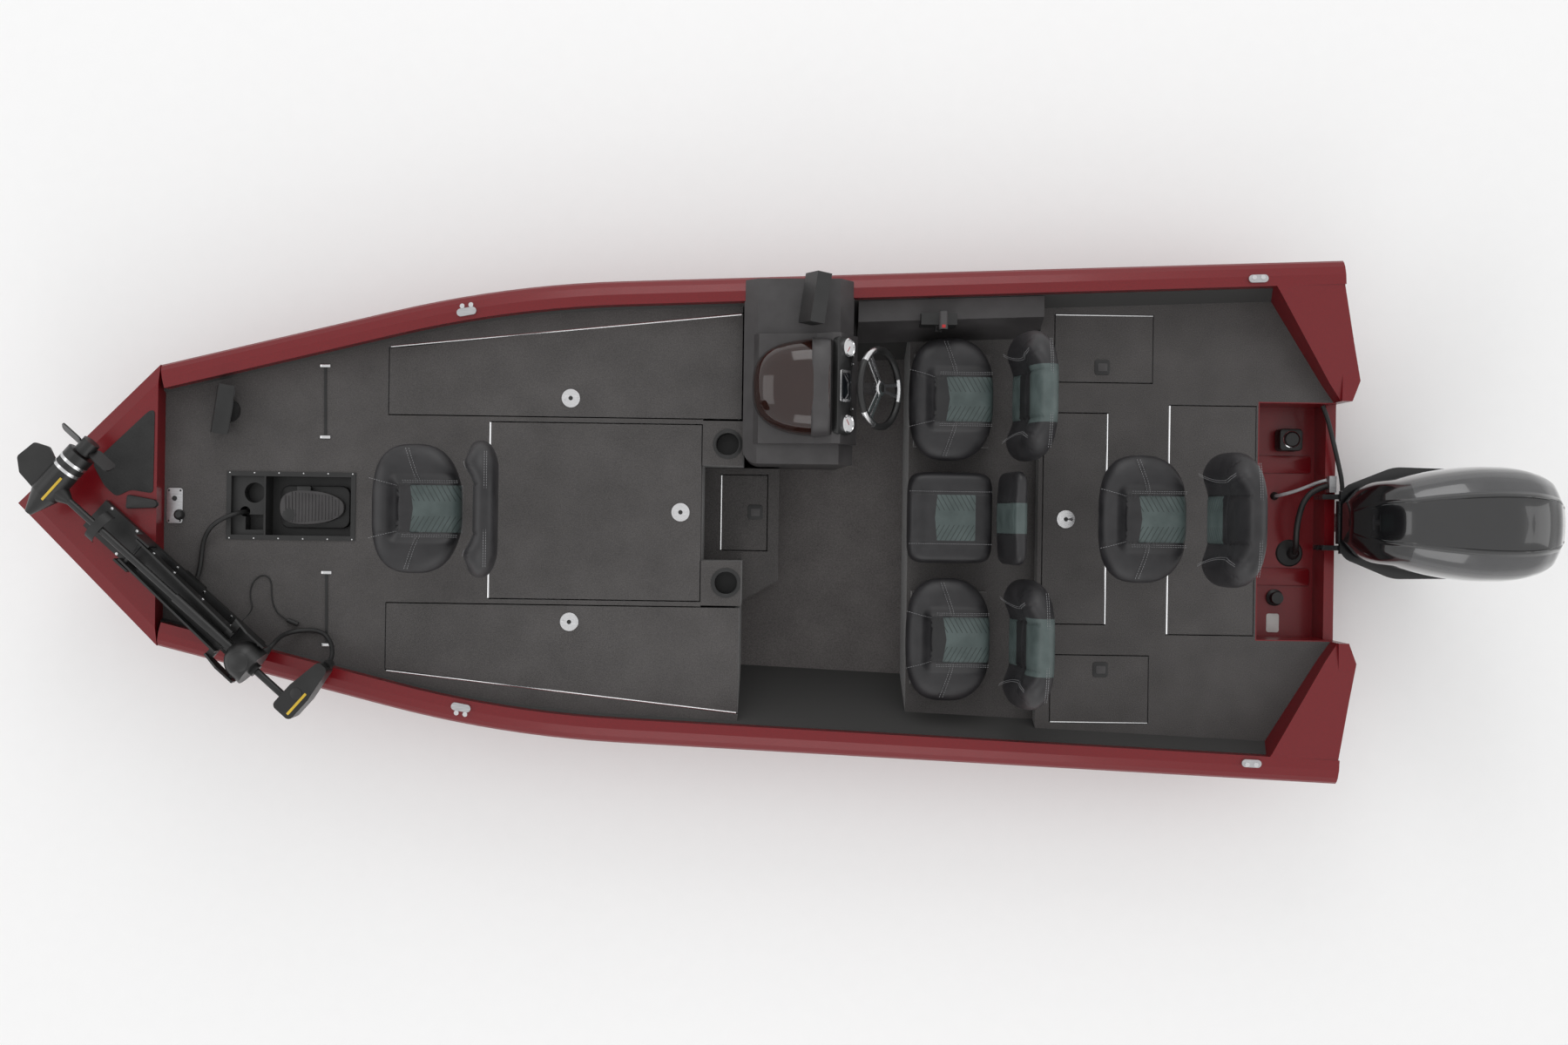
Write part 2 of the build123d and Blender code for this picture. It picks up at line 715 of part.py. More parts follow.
def throttle(panel):
    """The control box and its lever, on the side panel, outboard of the driver's back."""
    x = locker_end_x + 765.0
    y = driver_y + back_width / 2 + 32.0
    body = block(x - 70, x + 70, y, y + 45, 440, 550)
    lever = rod((x, y - 14, 500), (x + 10, y - 14, 610), 9)
    grip = rod((x + 10, y - 25, 612), (x + 10, y + 45, 612), 16)
    pin = rod((x, y + 2, 500), (x, y - 22, 500), 16)
    return body + lever + grip + pin - panel


def fish_finders(pod):
    """A screen over the console and a screen on the bow deck, each on its bracket."""
    made = []
    for x, y, z, low in ((locker_end_x + 278, 815.0, 735.0, 620.0),
                         (bow_x + 797, 375.0, 560.0, bow_deck_z)):
        screen = Pos(x, y, z) * (Rot(0, 0, -8) * (Rot(0, 22, 0) * Box(58, 190, 120)))
        stem = block(x - 14, x + 14, y - 14, y + 14, low, z)
        foot = Pos(x, y, low) * Cylinder(45, 26, align=(Align.CENTER, Align.CENTER, Align.MIN))
        made.append(screen + stem + foot - pod)
    return made


def cleats():
    """Four low oval cleats let into the gunwales."""
    made = []
    for x in (bow_x + 1740.0, transom_x - 395.0):
        y = half_beam(x) - 66.0
        turn = math.degrees(math.atan2(half_beam(x + 10) - half_beam(x - 10), 20))
        pad = Box(76, 30, 12)
        pad = fillet(pad.edges().filter_by(Axis.Z), 14.9)
        made += both_sides(Pos(x, y, gunwale_z + 6) * (Rot(0, 0, turn) * pad))
    return made


def cushion(width, depth, thickness):
    """A plain soft seat, its underside at z 0 and its fore edge at x 0."""
    body = Pos(depth / 2, 0, thickness / 2) * Box(depth, width, thickness)
    body = fillet(body.edges().filter_by(Axis.Z), min(seat_corner, width / 3))
    return fillet(body.faces().sort_by(Axis.Z)[-1].edges(), 30)


def backrest(width, wing, height=back_height, thickness=back_thickness, lean=back_lean):
    """A plain soft back with its hollow face at x 0 and its foot at z 0, leaning aft."""
    half = width / 2
    arm = half - 90.0
    points = [(0, arm), (-wing, arm + 20), (-wing, half), (thickness, half),
              (thickness, -half), (-wing, -half), (-wing, -arm - 20), (0, -arm)]
    if wing <= 0:
        points = [(0, half), (thickness, half), (thickness, -half), (0, -half)]
    body = prism(points, 0, height)
    rear = [e for e in body.edges().filter_by(Axis.Z) if e.center().X > thickness - 1]
    body = fillet(rear, thickness * 0.6)
    top = body.faces().sort_by(Axis.Z)[-1]
    body = fillet(top.edges(), 18)
    return Rot(0, lean, 0) * body


def seat_places():
    """Every seat's fore edge, centre, cushion underside, width and wing."""
    bench_z = seat_box_z + bench_rise
    bench_x = seat_box_x - 14.0
    bow_seat_x = bow_x + bow_seat_from_bow - post_setback
    aft_seat_x = transom_x - aft_seat_from_transom - post_setback
    return {
        "bow_seat": (bow_seat_x, 0.0, bow_deck_z + pedestal_height, seat_width, back_wing),
        "aft_seat": (aft_seat_x, 0.0, aft_deck_z + pedestal_height, seat_width, back_wing),
        "driver_seat": (bench_x, driver_y, bench_z, seat_width, back_wing),
        "passenger_seat": (bench_x, passenger_y, bench_z, seat_width, back_wing),
        "centre_seat": (bench_x, centre_seat_y, bench_z - 10, centre_seat_width, 0.0),
    }


def fold_axis(name):
    """The cross axis that a seat's back folds about, as x and z."""
    x, y, z, width, wing = seat_places()[name]
    rise = back_hinge_up + wing
    if wing <= 0:
        rise = centre_back_thickness
    return x + seat_depth + back_gap + wing + back_hinge_in, z + seat_thickness + rise


def seats():
    """Cushions and backs of the five seats."""
    made = {"cockpit_cushions": []}
    for name, (x, y, z, width, wing) in seat_places().items():
        pad = Pos(x, y, z) * cushion(width, seat_depth, seat_thickness)
        if name == "centre_seat":
            rest = backrest(width, wing, centre_back_height, centre_back_thickness, centre_back_lean)
        else:
            rest = backrest(width + back_width - seat_width, wing)
        rest = Pos(x + seat_depth + back_gap + wing, y, z + back_foot) * rest
        if z < aft_deck_z:
            made["cockpit_cushions"].append(pad)
        else:
            made[name + "_cushion"] = pad
        made[name + "_back"] = rest
    return made


def seat_post(name):
    """A fishing seat's turning post, with the plate under its cushion."""
    x, y, z, width, wing = seat_places()[name]
    deck = bow_deck_z if name == "bow_seat" else aft_deck_z
    low = deck + socket_height + 2
    high = z - seat_plate
    post = Pos(x + post_setback, y, low) * Cylinder(
        post_radius, high - low, align=(Align.CENTER, Align.CENTER, Align.MIN))
    plate = block(x + 30, x + seat_depth - 10, y - 90, y + 90, high, z - 0.5)
    return post + plate


def seat_sockets():
    """The round deck plates that the two fishing seats' posts turn in."""
    made = []
    for name, deck in (("bow_seat", bow_deck_z), ("aft_seat", aft_deck_z)):
        x = seat_places()[name][0] + post_setback
        made.append(Pos(x, 0, deck) * Cylinder(
            socket_radius, socket_height, align=(Align.CENTER, Align.CENTER, Align.MIN)))
    return made


def bow_eye(hull):
    """The ring bolt on the stem that a tow or mooring line is clipped to."""
    x = bow_x + 48.0
    z = bow_eye_z
    ring = Pos(x, 0, z) * (Rot(90, 0, 0) * Cylinder(bow_eye_hole + 12, bow_eye_plate))
    shank = block(x, x + 80, -bow_eye_plate / 2, bow_eye_plate / 2, z - 14, z + 14)
    hole = Pos(x, 0, z) * (Rot(90, 0, 0) * Cylinder(bow_eye_hole, 60))
    eye = ring + shank - hull - hole
    return eye.solids().sort_by(Axis.X)[0]


def bench_frames():
    """Low frames under the three cockpit cushions."""
    made = []
    for name in ("driver_seat", "passenger_seat", "centre_seat"):
        x, y, z, width, wing = seat_places()[name]
        made.append(block(x + 30, x + seat_depth - 10, y - width / 2 + 60, y + width / 2 - 60,
                          seat_box_z, z - 0.5))
    return made


def steer_x():
    return transom_x + steer_x_gap


def engine_bracket():
    """Two clamp plates on the transom, joined by the tilt tube's eyes."""
    made = []
    tilt_x = transom_x + tilt_x_gap
    for side in (1, -1):
        y0, y1 = sorted((side * 92, side * 112))
        cheek = [(transom_x, 40.0), (transom_x + 46, 60.0), (transom_x + 46, tilt_z - 30),
                 (tilt_x + 26, tilt_z + 26), (tilt_x - 26, tilt_z + 26),
                 (inner_transom_x - 22, tilt_z - 20), (inner_transom_x - 22, 235.0),
                 (inner_transom_x, 235.0), (inner_transom_x, transom_notch_z),
                 (transom_x, transom_notch_z)]
        face = make_face(Polyline(*[(x, 0, z) for x, z in cheek], close=True))
        made.append(Pos(0, y1, 0) * extrude(face, y1 - y0, dir=(0, -1, 0)))
    eye = rod((tilt_x, -130, tilt_z), (tilt_x, 130, tilt_z), 12.5)
    made = [m - eye for m in made]
    tube = rod((tilt_x, -125, tilt_z), (tilt_x, 125, tilt_z), 12.45)
    return made, tube


def swivel_bracket():
    """The bracket that tilts about the tilt tube and carries the steering tube."""
    tilt_x = transom_x + tilt_x_gap
    x = steer_x()
    head = rod((tilt_x, -86, tilt_z), (tilt_x, 86, tilt_z), 24)
    tube = rod((x, 0, 60), (x, 0, tilt_z + 30), 34)
    web = block(tilt_x, x, -60, 60, tilt_z - 20, tilt_z + 20)
    low = block(tilt_x + 40, x, -38, 38, 90, tilt_z)
    body = head + tube + web + low
    bore = rod((tilt_x, -140, tilt_z), (tilt_x, 140, tilt_z), 12.55)
    pin = rod((x, 0, 0), (x, 0, 500), 20)
    return body - bore - pin


def cowl_section(z, length, width, front):
    """A level slice of the cowl: blunt at the front, rounder at the back."""
    x0 = transom_x + cowl_front_gap + front
    half = width / 2
    face = make_face(Polyline(
        (x0, half * 0.62), (x0 + length * 0.28, half), (x0 + length * 0.72, half * 0.97),
        (x0 + length, half * 0.52), (x0 + length, -half * 0.52),
        (x0 + length * 0.72, -half * 0.97), (x0 + length * 0.28, -half), (x0, -half * 0.62),
        close=True))
    ends = [v for v in face.vertices() if v.X > x0 + length - 1 or v.X < x0 + 1]
    middle = [v for v in face.vertices() if x0 + 1 < v.X < x0 + length - 1]
    face = fillet(ends, 60.0)
    middle = [v for v in face.vertices() if any((v.center() - m.center()).length < 1 for m in middle)]
    face = fillet(middle, 160.0)
    return Pos(0, 0, z) * face


def engine_cowl():
    """The outboard's top cowl, hollow over the powerhead."""
    low = cowl_section(cowl_low_z + 60, cowl_length, cowl_width, 0.0)
    lean = cowl_rake * 0.4
    mid = cowl_section(cowl_top_z - 150, cowl_length - 9 - lean, cowl_width - 10, lean)
    high = cowl_section(cowl_top_z, cowl_length - 128 - cowl_rake, cowl_width - 110, cowl_rake)
    body = loft([low, mid, high], ruled=True)
    hollow = block(transom_x + cowl_wall_front, transom_x + 560, -135, 135, cowl_low_z,
                   cowl_top_z - 120)
    return body - hollow


def lower_cowl():
    """The tray that closes the cowl from below."""
    low = cowl_section(cowl_low_z, cowl_length - 110, cowl_width - 130, 30.0)
    high = cowl_section(cowl_low_z + 59.5, cowl_length, cowl_width, 0.0)
    body = loft([low, high], ruled=True)
    return body - rod((steer_x(), 0, 0), (steer_x(), 0, 600), 20)


def powerhead():
    """The engine itself, as a plain block inside the cowl."""
    front = transom_x + cowl_wall_front + powerhead_gap
    return block(front, transom_x + 560 - powerhead_gap, -125, 125, cowl_low_z + 66,
                 cowl_top_z - 120 - powerhead_gap)


def engine_leg():
    """Drive-shaft housing, anti-ventilation plate, gearcase and skeg."""
    x = steer_x()

    def slab(z, front, back, half):
        face = make_face(Polyline(
            (x + front, 0), (x + front + 45, half), (x + back - 70, half), (x + back, 6),
            (x + back, -6), (x + back - 70, -half), (x + front + 45, -half), close=True))
        return Pos(0, 0, z) * face

    upper = loft([slab(leg_top_z, 40, 330, 95), slab(leg_top_z - 130, 48, 300, 72),
                  slab(plate_z + 8, 42, 280, 40)], ruled=True)
    plate = Pos(x + 170, 0, plate_z + 4) * Box(400, 190, 8)
    plate = fillet(plate.edges().filter_by(Axis.Z), 70)
    strut = loft([slab(plate_z, 40, 280, 34), slab(gear_z, 40, 240, 26)], ruled=True)
    centre = x + 150
    torpedo = Pos(centre, 0, gear_z) * (Rot(0, 90, 0) * Cylinder(50, 210))
    nose = Pos(centre - 105, 0, gear_z) * Sphere(50)
    nose = nose & block(centre - 160, centre - 105, -60, 60, gear_z - 60, gear_z + 60)
    skeg_face = make_face(Polyline((centre - 100, 0, gear_z), (centre + 70, 0, gear_z),
                                   (centre + 50, 0, gear_z - 175), (centre + 10, 0, gear_z - 180),
                                   close=True))
    skeg = Pos(0, 6, 0) * extrude(skeg_face, 12, dir=(0, -1, 0))
    pin = rod((x, 0, 52), (x, 0, cowl_low_z + 40), 19.95)
    foot = block(x - 30, x + 60, -26, 26, 26, 54)
    cap = block(x - 40, x + 70, -45, 45, tilt_z + 32, leg_top_z)
    return upper + plate + strut + torpedo + nose + skeg + pin + foot + cap


def prop_x():
    return steer_x() + 150 + 105 + prop_gap


def blade_disc(radius, hub, count, width, pitch, length):
    """A hub and blades, axis along X from x 0."""
    body = Pos(length / 2, 0, 0) * (Rot(0, 90, 0) * Cylinder(hub, length))
    for i in range(count):
        blade = Pos(0, 0, (radius + hub - 6) / 2) * Box(6, width, radius - hub + 6)
        blade = fillet(blade.edges().filter_by(Axis.X), width * 0.3)
        blade = Pos(length / 2, 0, 0) * (Rot(360 / count * i, 0, 0) * (Rot(0, 0, pitch) * blade))
        body = body + blade
    return body


def engine_propeller():
    """Three-bladed propeller."""
    body = blade_disc(prop_radius, 46, 3, 105, 35, 110)
    return Pos(prop_x(), 0, gear_z) * body


def motor_frame():
    """Above the bow motor's pivot, on the stowed shaft's axis; X runs forward along the rail."""
    pivot = Vector(bow_x + motor_pivot_x_from_bow, motor_pivot_y, motor_axis_z)
    turn = math.radians(rail_turn)
    return Plane(origin=pivot, x_dir=(-math.cos(turn), math.sin(turn), 0), z_dir=(0, 0, 1))


def cross_pin(x, z, half, radius):
    """A pin along the motor frame's Y."""
    return rod((x, -half, z), (x, half, z), radius)


def pair_of_plates(outline, inner, outer):
    """Two upright plates of one outline in the motor frame's XZ plane, either side of it."""
    face = make_face(Polyline(*[(x, 0, z) for x, z in outline], close=True))
    plate = Pos(0, outer, 0) * extrude(face, outer - inner, dir=(0, -1, 0))
    other = Pos(0, -inner, 0) * extrude(face, outer - inner, dir=(0, -1, 0))
    return plate + other


def motor_mount():
    """The bow motor's rail on the bow plate, its pivot cheeks and pin, and its foot on the deck."""
    low = gunwale_z - motor_axis_z
    rail = block(-rail_aft, rail_fore, -rail_half, rail_half, low, low + rail_height)
    for side in (1, -1):
        y0, y1 = sorted((side * (rail_half - cheek_plate), side * rail_half))
        rail = rail + block(-cheek_half, cheek_half, y0, y1, low + 10,
                            cheek_rise - motor_pivot_drop)
    rail = rail + cross_pin(0, -motor_pivot_drop, rail_half, motor_pin_radius)
    rise = gunwale_z - bow_deck_z
    foot = block(-rail_foot_fore - rail_foot, -rail_foot_fore, -rail_foot / 2, rail_foot / 2,
                 low - rise, low)
    return motor_frame() * (rail + foot)


def motor_arm():
    """The folding arm: two side plates with a web below, and a fork round the housing."""
    drop = motor_pivot_drop
    reach = arm_length + fork_reach
    lean = 44.0 / (arm_length - 64.0)
    low_end = -drop - 18 + lean * (arm_end - 24)
    sides = [(22, -drop - 18), (22, -drop + 18), (-arm_end, 16), (-arm_end, low_end),
             (-24, -drop - 18)]
    web = [(-60, -drop - 18 + lean * 36), (-60, -drop - 10 + lean * 36),
           (-arm_end, low_end + 8), (-arm_end, low_end)]
    web = make_face(Polyline(*[(x, 0, z) for x, z in web], close=True))
    inner = arm_half - arm_plate
    body = pair_of_plates(sides, inner, arm_half)
    body = body + Pos(0, inner, 0) * extrude(web, 2 * inner, dir=(0, -1, 0))
    body = body + block(-arm_end, -arm_end + 30, -fork_half, fork_half, low_end - 5, low_end + 15)
    fork = [(-arm_end + 30, low_end - 5), (-arm_end + 30, -12), (-arm_length + 60, fork_reach),
            (-reach, fork_reach), (-reach, -22), (-arm_length + 40, -34), (-arm_end, low_end - 5)]
    body = body + pair_of_plates(fork, fork_half - arm_plate, fork_half)
    body = body - cross_pin(0, -drop, 200, motor_pin_radius + pin_clearance)
    body = body - cross_pin(-arm_length, 0, 200, motor_pin_radius + pin_clearance)
    return motor_frame() * body


def motor_collar():
    """The steering housing at the arm's end: a domed drum, its clamp collar and its sleeve."""
    drum = Rot(0, -90, 0) * Cylinder(housing_radius, housing_aft,
                                     align=(Align.CENTER, Align.CENTER, Align.MIN))
    dome = Sphere(housing_radius) & block(0, 200, -200, 200, -200, 200)
    collar = Pos(-housing_aft - collar_length / 2, 0, 0) * (
        Rot(0, 90, 0) * Cylinder(collar_radius, collar_length))
    sleeve = rod((0, 0, 0), (arm_length - sleeve_end, 0, 0), sleeve_radius)
    trunnions = cross_pin(0, 0, fork_half, motor_pin_radius)
    bore = rod((-400, 0, 0), (400, 0, 0), motor_shaft_radius + pin_clearance)
    body = drum + dome + collar + sleeve + trunnions - bore
    return motor_frame() * (Pos(-arm_length, 0, 0) * body)


def motor_skeg():
    """The flat fin beyond the pod, in the plane of the shaft and the pod."""
    face = make_face(Polyline(
        (0, 60), (80, 50), (125, 45), (173, 5), (160, -79), (105, -104), (0, -60), close=True))
    corners = [v for v in face.vertices() if v.X > 90]
    face = fillet(corners, 18)
    return Pos(0, 0, -skeg_thickness / 2) * extrude(face, skeg_thickness)


def motor_shaft():
    """Shaft, pod and control head, which slide together through the housing."""
    front = shaft_run - arm_length
    back = -arm_length - head_gap
    shaft = rod((back, 0, 0), (front, 0, 0), motor_shaft_radius)
    barrel = rod((0, -pod_aft, 0), (0, pod_fore, 0), pod_radius)
    nose = Pos(0, pod_fore, 0) * (Rot(-90, 0, 0) * Cone(
        pod_radius, 14, pod_nose, align=(Align.CENTER, Align.CENTER, Align.MIN)))
    pod = Pos(front, 0, 0) * (barrel + nose + motor_skeg())
    half = head_height / 2
    face = make_face(Polyline(
        (-half, head_fore), (half, head_fore), (half, -head_aft * 0.3), (24, -head_aft),
        (-24, -head_aft), (-half, -head_aft * 0.3), close=True))
    head = Pos(back, 0, -head_width / 2) * extrude(face, head_width)
    head = fillet(head.edges().filter_by(Axis.Z), 20)
    return motor_frame() * (shaft + pod + head)


def motor_propeller():
    """Two-bladed propeller on the pod's end, its blades at rest along the shaft."""
    front = shaft_run - arm_length
    body = blade_disc(motor_prop_radius, motor_prop_hub, 2, 60, 30, 56)
    body = Rot(0, 0, -90) * (Rot(90, 0, 0) * body)
    return motor_frame() * (Pos(front, -pod_aft - prop_gap, 0) * body)


def cable_guide():
    """The block on the transom's low edge that the harness and the fuel hose run into."""
    return block(inner_transom_x + 6, transom_x - 6, 120, 186, transom_notch_z, 346)


def cord_routes():
    """Each free cord's node: its diameter and the points of its route, in order."""
    deck = bow_deck_z
    well = well_floor_z
    hole_x, hole_y = cable_hole_place()
    guide_x = inner_transom_x + 6
    tilt_x = transom_x + tilt_x_gap
    rope_z = deck + pull_rope / 2
    lay = deck + head_cable / 2
    return {
        "bow_motor_pedal_cable": (pedal_cable, [
            (hole_x, hole_y, deck - 75), (hole_x - 1, hole_y - 1, deck - 28),
            (hole_x - 20, hole_y - 8, deck + 22), (hole_x - 66, hole_y - 28, deck + 46),
            (hole_x - 116, hole_y - 64, deck + 42), (hole_x - 148, hole_y - 116, deck + 22),
            (hole_x - 158, hole_y - 172, deck + 12), (hole_x - 162, hole_y - 222, deck + 13),
            (hole_x - 172, hole_y - 260, deck + 14)]),
        "bow_motor_head_cable": (head_cable, [
            (-1598.5, -558.5, 649.5), (-1579, -536, 624), (-1570, -512, 582), (-1558, -496, 538),
            (-1530, -486, lay + 15), (-1492, -482, lay + 2), (-1450, -482, lay + 1),
            (-1408, -494, lay + 14), (-1378, -524, 532), (-1358, -556, 572),
            (-1355, -592, 612), (-1359, -611, 649)]),
        "bow_motor_pull_rope": (pull_rope, [
            (-1713, -445, 574), (-1700, -430, 566), (-1692, -412, 530), (-1697, -394, rope_z + 12),
            (-1706, -370, rope_z + 1), (-1711, -336, rope_z), (-1701, -298, rope_z + 1),
            (-1677, -272, rope_z), (-1647, -268, rope_z + 1), (-1627, -292, rope_z),
            (-1626, -338, rope_z + 1), (-1620, -384, rope_z), (-1597, -424, rope_z + 1),
            (-1562, -442, deck + 7)]),
        "engine_harness": (engine_harness, [
            (2476, -130, well + 3), (2473, -120, well + 52), (2459, -84, well + 98),
            (2452, -28, well + 126), (2456, 26, well + 142), (2468, 76, well + 151),
            (2496, 118, well + 156), (2540, 140, well + 157), (guide_x - 4, 146, well + 157)]),
        "engine_fuel_hose": (fuel_hose, [
            (2398, 106, well + 0.5), (2399, 107, well + 34), (2416, 112, well + 68),
            (2452, 124, well + 92), (2494, 142, well + 114), (2530, 160, well + 138),
            (guide_x - 4, 170, well + 152)]),
        "engine_steering_cable": (steering_cable, [
            (2532, notch_y - 8, 350), (2548, 430, 352), (2566, 360, 356), (2582, 290, 360),
            (2598, 215, 366), (2608, 165, 368), (tilt_x, 126, tilt_z)]),
    }


def cord_tube(name, points, diameter):
    """A free cord: straight runs joined by tangent arcs, round in section."""
    line = [Vector(*p) for p in points]
    radii = []
    for before, here, after in zip(line, line[1:], line[2:]):
        half_turn = math.radians((here - before).get_angle(after - here)) / 2
        shorter = min((here - before).length, (after - here).length)
        radii.append(0.45 * shorter / math.tan(half_turn))
    path = FilletPolyline(*line, radius=radii)
    tube = sweep(Plane(origin=line[0], z_dir=line[1] - line[0]) * Circle(diameter / 2), path)
    area = math.pi * diameter ** 2 / 4
    print(name, "length", round(path.length), "tightest", round(min(radii)),
          "volume over section by length", round(tube.volume / (area * path.length), 4))
    return tube


def pull_grip():
    """The round grip at the end of the bow motor's pull rope, lying on the deck."""
    z = bow_deck_z + 9
    return rod((-1560, -443, z), (-1560 + grip_length * 0.93, -443 - grip_length * 0.37, z), 8)


def save(name, shape):
    """Writes one node; a list of shapes becomes one node of several solids."""
    shapes = shape if isinstance(shape, list) else [shape]
    solids = [s for item in shapes for s in item.solids()]
    out = solids[0] if len(solids) == 1 else Compound(children=solids)
    out.label = name
    export_step(out, "parts/" + name + ".step")


def main():
    os.makedirs("parts", exist_ok=True)
    plans = lid_plans()
    nodes = hull_parts(hull_form())
    nodes["bow_plate"] = bow_plate()
    nodes["gunwales"] = both_sides(gunwale())
    nodes["stern_caps"] = both_sides(stern_cap(nodes["hull_sides"], nodes["gunwales"][0]))
    nodes["cockpit_floor"] = cockpit_floor()
    nodes["bow_deck"] = bow_deck(plans)
    nodes["aft_deck"] = aft_deck(plans)
    nodes["forward_bulkhead"] = forward_bulkhead()
    nodes["cup_holder_blocks"] = cup_blocks()
    nodes["step_box"] = step_box(plans)
    nodes["seat_box"] = seat_box() + bench_frames()
    nodes["splash_well"] = splash_well()
    nodes["storage_bins"] = bow_bins(plans) + aft_bins(plans)
    nodes["pedal_tray"] = pedal_tray()
    nodes["foot_pedal"] = foot_pedal()
    nodes.update(lids(plans))
    nodes["console_body"] = console()
    nodes["console_side_panel"] = console_side_panel()
    nodes["windscreen"] = windscreen(nodes["console_body"])
    nodes["steering_wheel"] = steering_wheel()
    nodes["throttle"] = throttle(nodes["console_side_panel"])
    nodes["fish_finders"] = fish_finders(nodes["console_body"])
    nodes.update(seats())
    nodes["bow_seat_post"] = seat_post("bow_seat")
    nodes["aft_seat_post"] = seat_post("aft_seat")
    fittings = [bow_eye(nodes["hull_bottom"]), cable_guide(), pull_grip()]
    nodes["deck_fittings"] = cleats() + seat_sockets() + fittings
    cheeks, tube = engine_bracket()
    nodes["engine_bracket"] = cheeks + [tube]
    nodes["engine_swivel_bracket"] = swivel_bracket()
    nodes["engine_cowl"] = engine_cowl()
    nodes["engine_lower_cowl"] = lower_cowl()
    nodes["engine_powerhead"] = powerhead()
    nodes["engine_leg"] = engine_leg()
    nodes["engine_propeller"] = engine_propeller()
    nodes["bow_motor_mount"] = motor_mount()
    nodes["bow_motor_arm"] = motor_arm()
    nodes["bow_motor_collar"] = motor_collar()
    nodes["bow_motor_shaft"] = motor_shaft()
    nodes["bow_motor_propeller"] = motor_propeller()
    for name, (diameter, points) in cord_routes().items():
        nodes[name] = cord_tube(name, points, diameter)
    for name, shape in nodes.items():
        save(name, shape)


if __name__ == "__main__":
    main()
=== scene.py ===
import bpy
import math
import numpy as np
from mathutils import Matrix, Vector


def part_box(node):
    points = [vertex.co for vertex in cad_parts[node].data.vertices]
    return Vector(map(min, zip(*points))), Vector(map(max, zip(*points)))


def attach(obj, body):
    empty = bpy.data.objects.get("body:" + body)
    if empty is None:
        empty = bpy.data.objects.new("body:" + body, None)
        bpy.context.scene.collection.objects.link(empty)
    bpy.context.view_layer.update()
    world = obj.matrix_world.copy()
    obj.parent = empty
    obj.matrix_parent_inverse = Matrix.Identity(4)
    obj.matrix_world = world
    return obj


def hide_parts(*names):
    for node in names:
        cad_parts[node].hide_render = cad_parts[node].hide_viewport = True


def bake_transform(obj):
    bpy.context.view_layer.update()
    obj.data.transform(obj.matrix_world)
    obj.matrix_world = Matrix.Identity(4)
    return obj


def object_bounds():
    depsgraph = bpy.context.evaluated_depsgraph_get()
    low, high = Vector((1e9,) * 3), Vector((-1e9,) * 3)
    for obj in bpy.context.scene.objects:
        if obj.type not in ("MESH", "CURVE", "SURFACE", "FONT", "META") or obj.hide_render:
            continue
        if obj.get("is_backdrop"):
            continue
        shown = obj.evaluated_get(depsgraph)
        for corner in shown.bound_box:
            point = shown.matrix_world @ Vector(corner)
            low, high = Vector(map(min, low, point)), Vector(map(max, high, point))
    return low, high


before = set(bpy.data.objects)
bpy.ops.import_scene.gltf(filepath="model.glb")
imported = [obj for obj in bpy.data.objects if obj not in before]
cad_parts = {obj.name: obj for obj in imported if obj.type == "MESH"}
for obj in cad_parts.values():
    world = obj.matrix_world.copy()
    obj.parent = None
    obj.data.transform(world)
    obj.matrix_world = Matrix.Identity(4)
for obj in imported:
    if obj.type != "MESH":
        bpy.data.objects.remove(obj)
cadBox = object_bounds()
print("frame loaded")

# surfaces
# A piece is a grid of points: rows along one parameter, columns along the other.


def newPiece(name, verts, faces, mat, body, sharp=35):
    # turned right side out first: the sum of the faces' signed volumes is positive
    verts = np.asarray(verts, float)
    loops = [np.array([f for f in faces if len(f) == n]) for n in (3, 4)]
    total = 0.0
    for n, f in zip((3, 4), loops):
        for k in range(n - 2 if len(f) else 0):
            a, b, c = verts[f[:, 0]], verts[f[:, k + 1]], verts[f[:, k + 2]]
            total += np.einsum("ij,ij->", a - verts.mean(0), np.cross(b - verts.mean(0), c - verts.mean(0)))
    if total < 0:
        faces = [f[::-1] for f in faces]
    mesh = bpy.data.meshes.new(name)
    mesh.from_pydata(verts.tolist(), [], faces)
    mesh.materials.append(mat)
    mesh.shade_smooth()
    mesh.set_sharp_from_angle(angle=math.radians(sharp))
    obj = bpy.data.objects.new(name, mesh)
    bpy.context.scene.collection.objects.link(obj)
    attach(obj, body)
    return obj


def gridFaces(rows, cols, wrap):
    # quads between neighbouring rows and columns; the last column meets the first where it wraps
    last = cols if wrap else cols - 1
    i, j = np.meshgrid(np.arange(rows - 1), np.arange(last), indexing="ij")
    k = (j + 1) % cols
    quads = np.stack([i * cols + j, i * cols + k, (i + 1) * cols + k, (i + 1) * cols + j], -1)
    return quads.reshape(-1, 4).tolist()


def ringStack(name, rings, mat, body, sharp=35, flip=False):
    # rings (rows, cols, 3) joined into a skin, with a fan to the mean point at each end
    rings = np.asarray(rings, float)
    rows, cols = rings.shape[:2]
    verts = np.concatenate([rings.reshape(-1, 3), rings[0].mean(0)[None], rings[-1].mean(0)[None]])
    faces = gridFaces(rows, cols, True)
    low = rows * cols
    top = (rows - 1) * cols
    faces += [[(j + 1) % cols, j, low] for j in range(cols)]
    faces += [[top + j, top + (j + 1) % cols, low + 1] for j in range(cols)]
    if flip:
        faces = [f[::-1] for f in faces]
    return newPiece(name, verts, faces, mat, body, sharp)


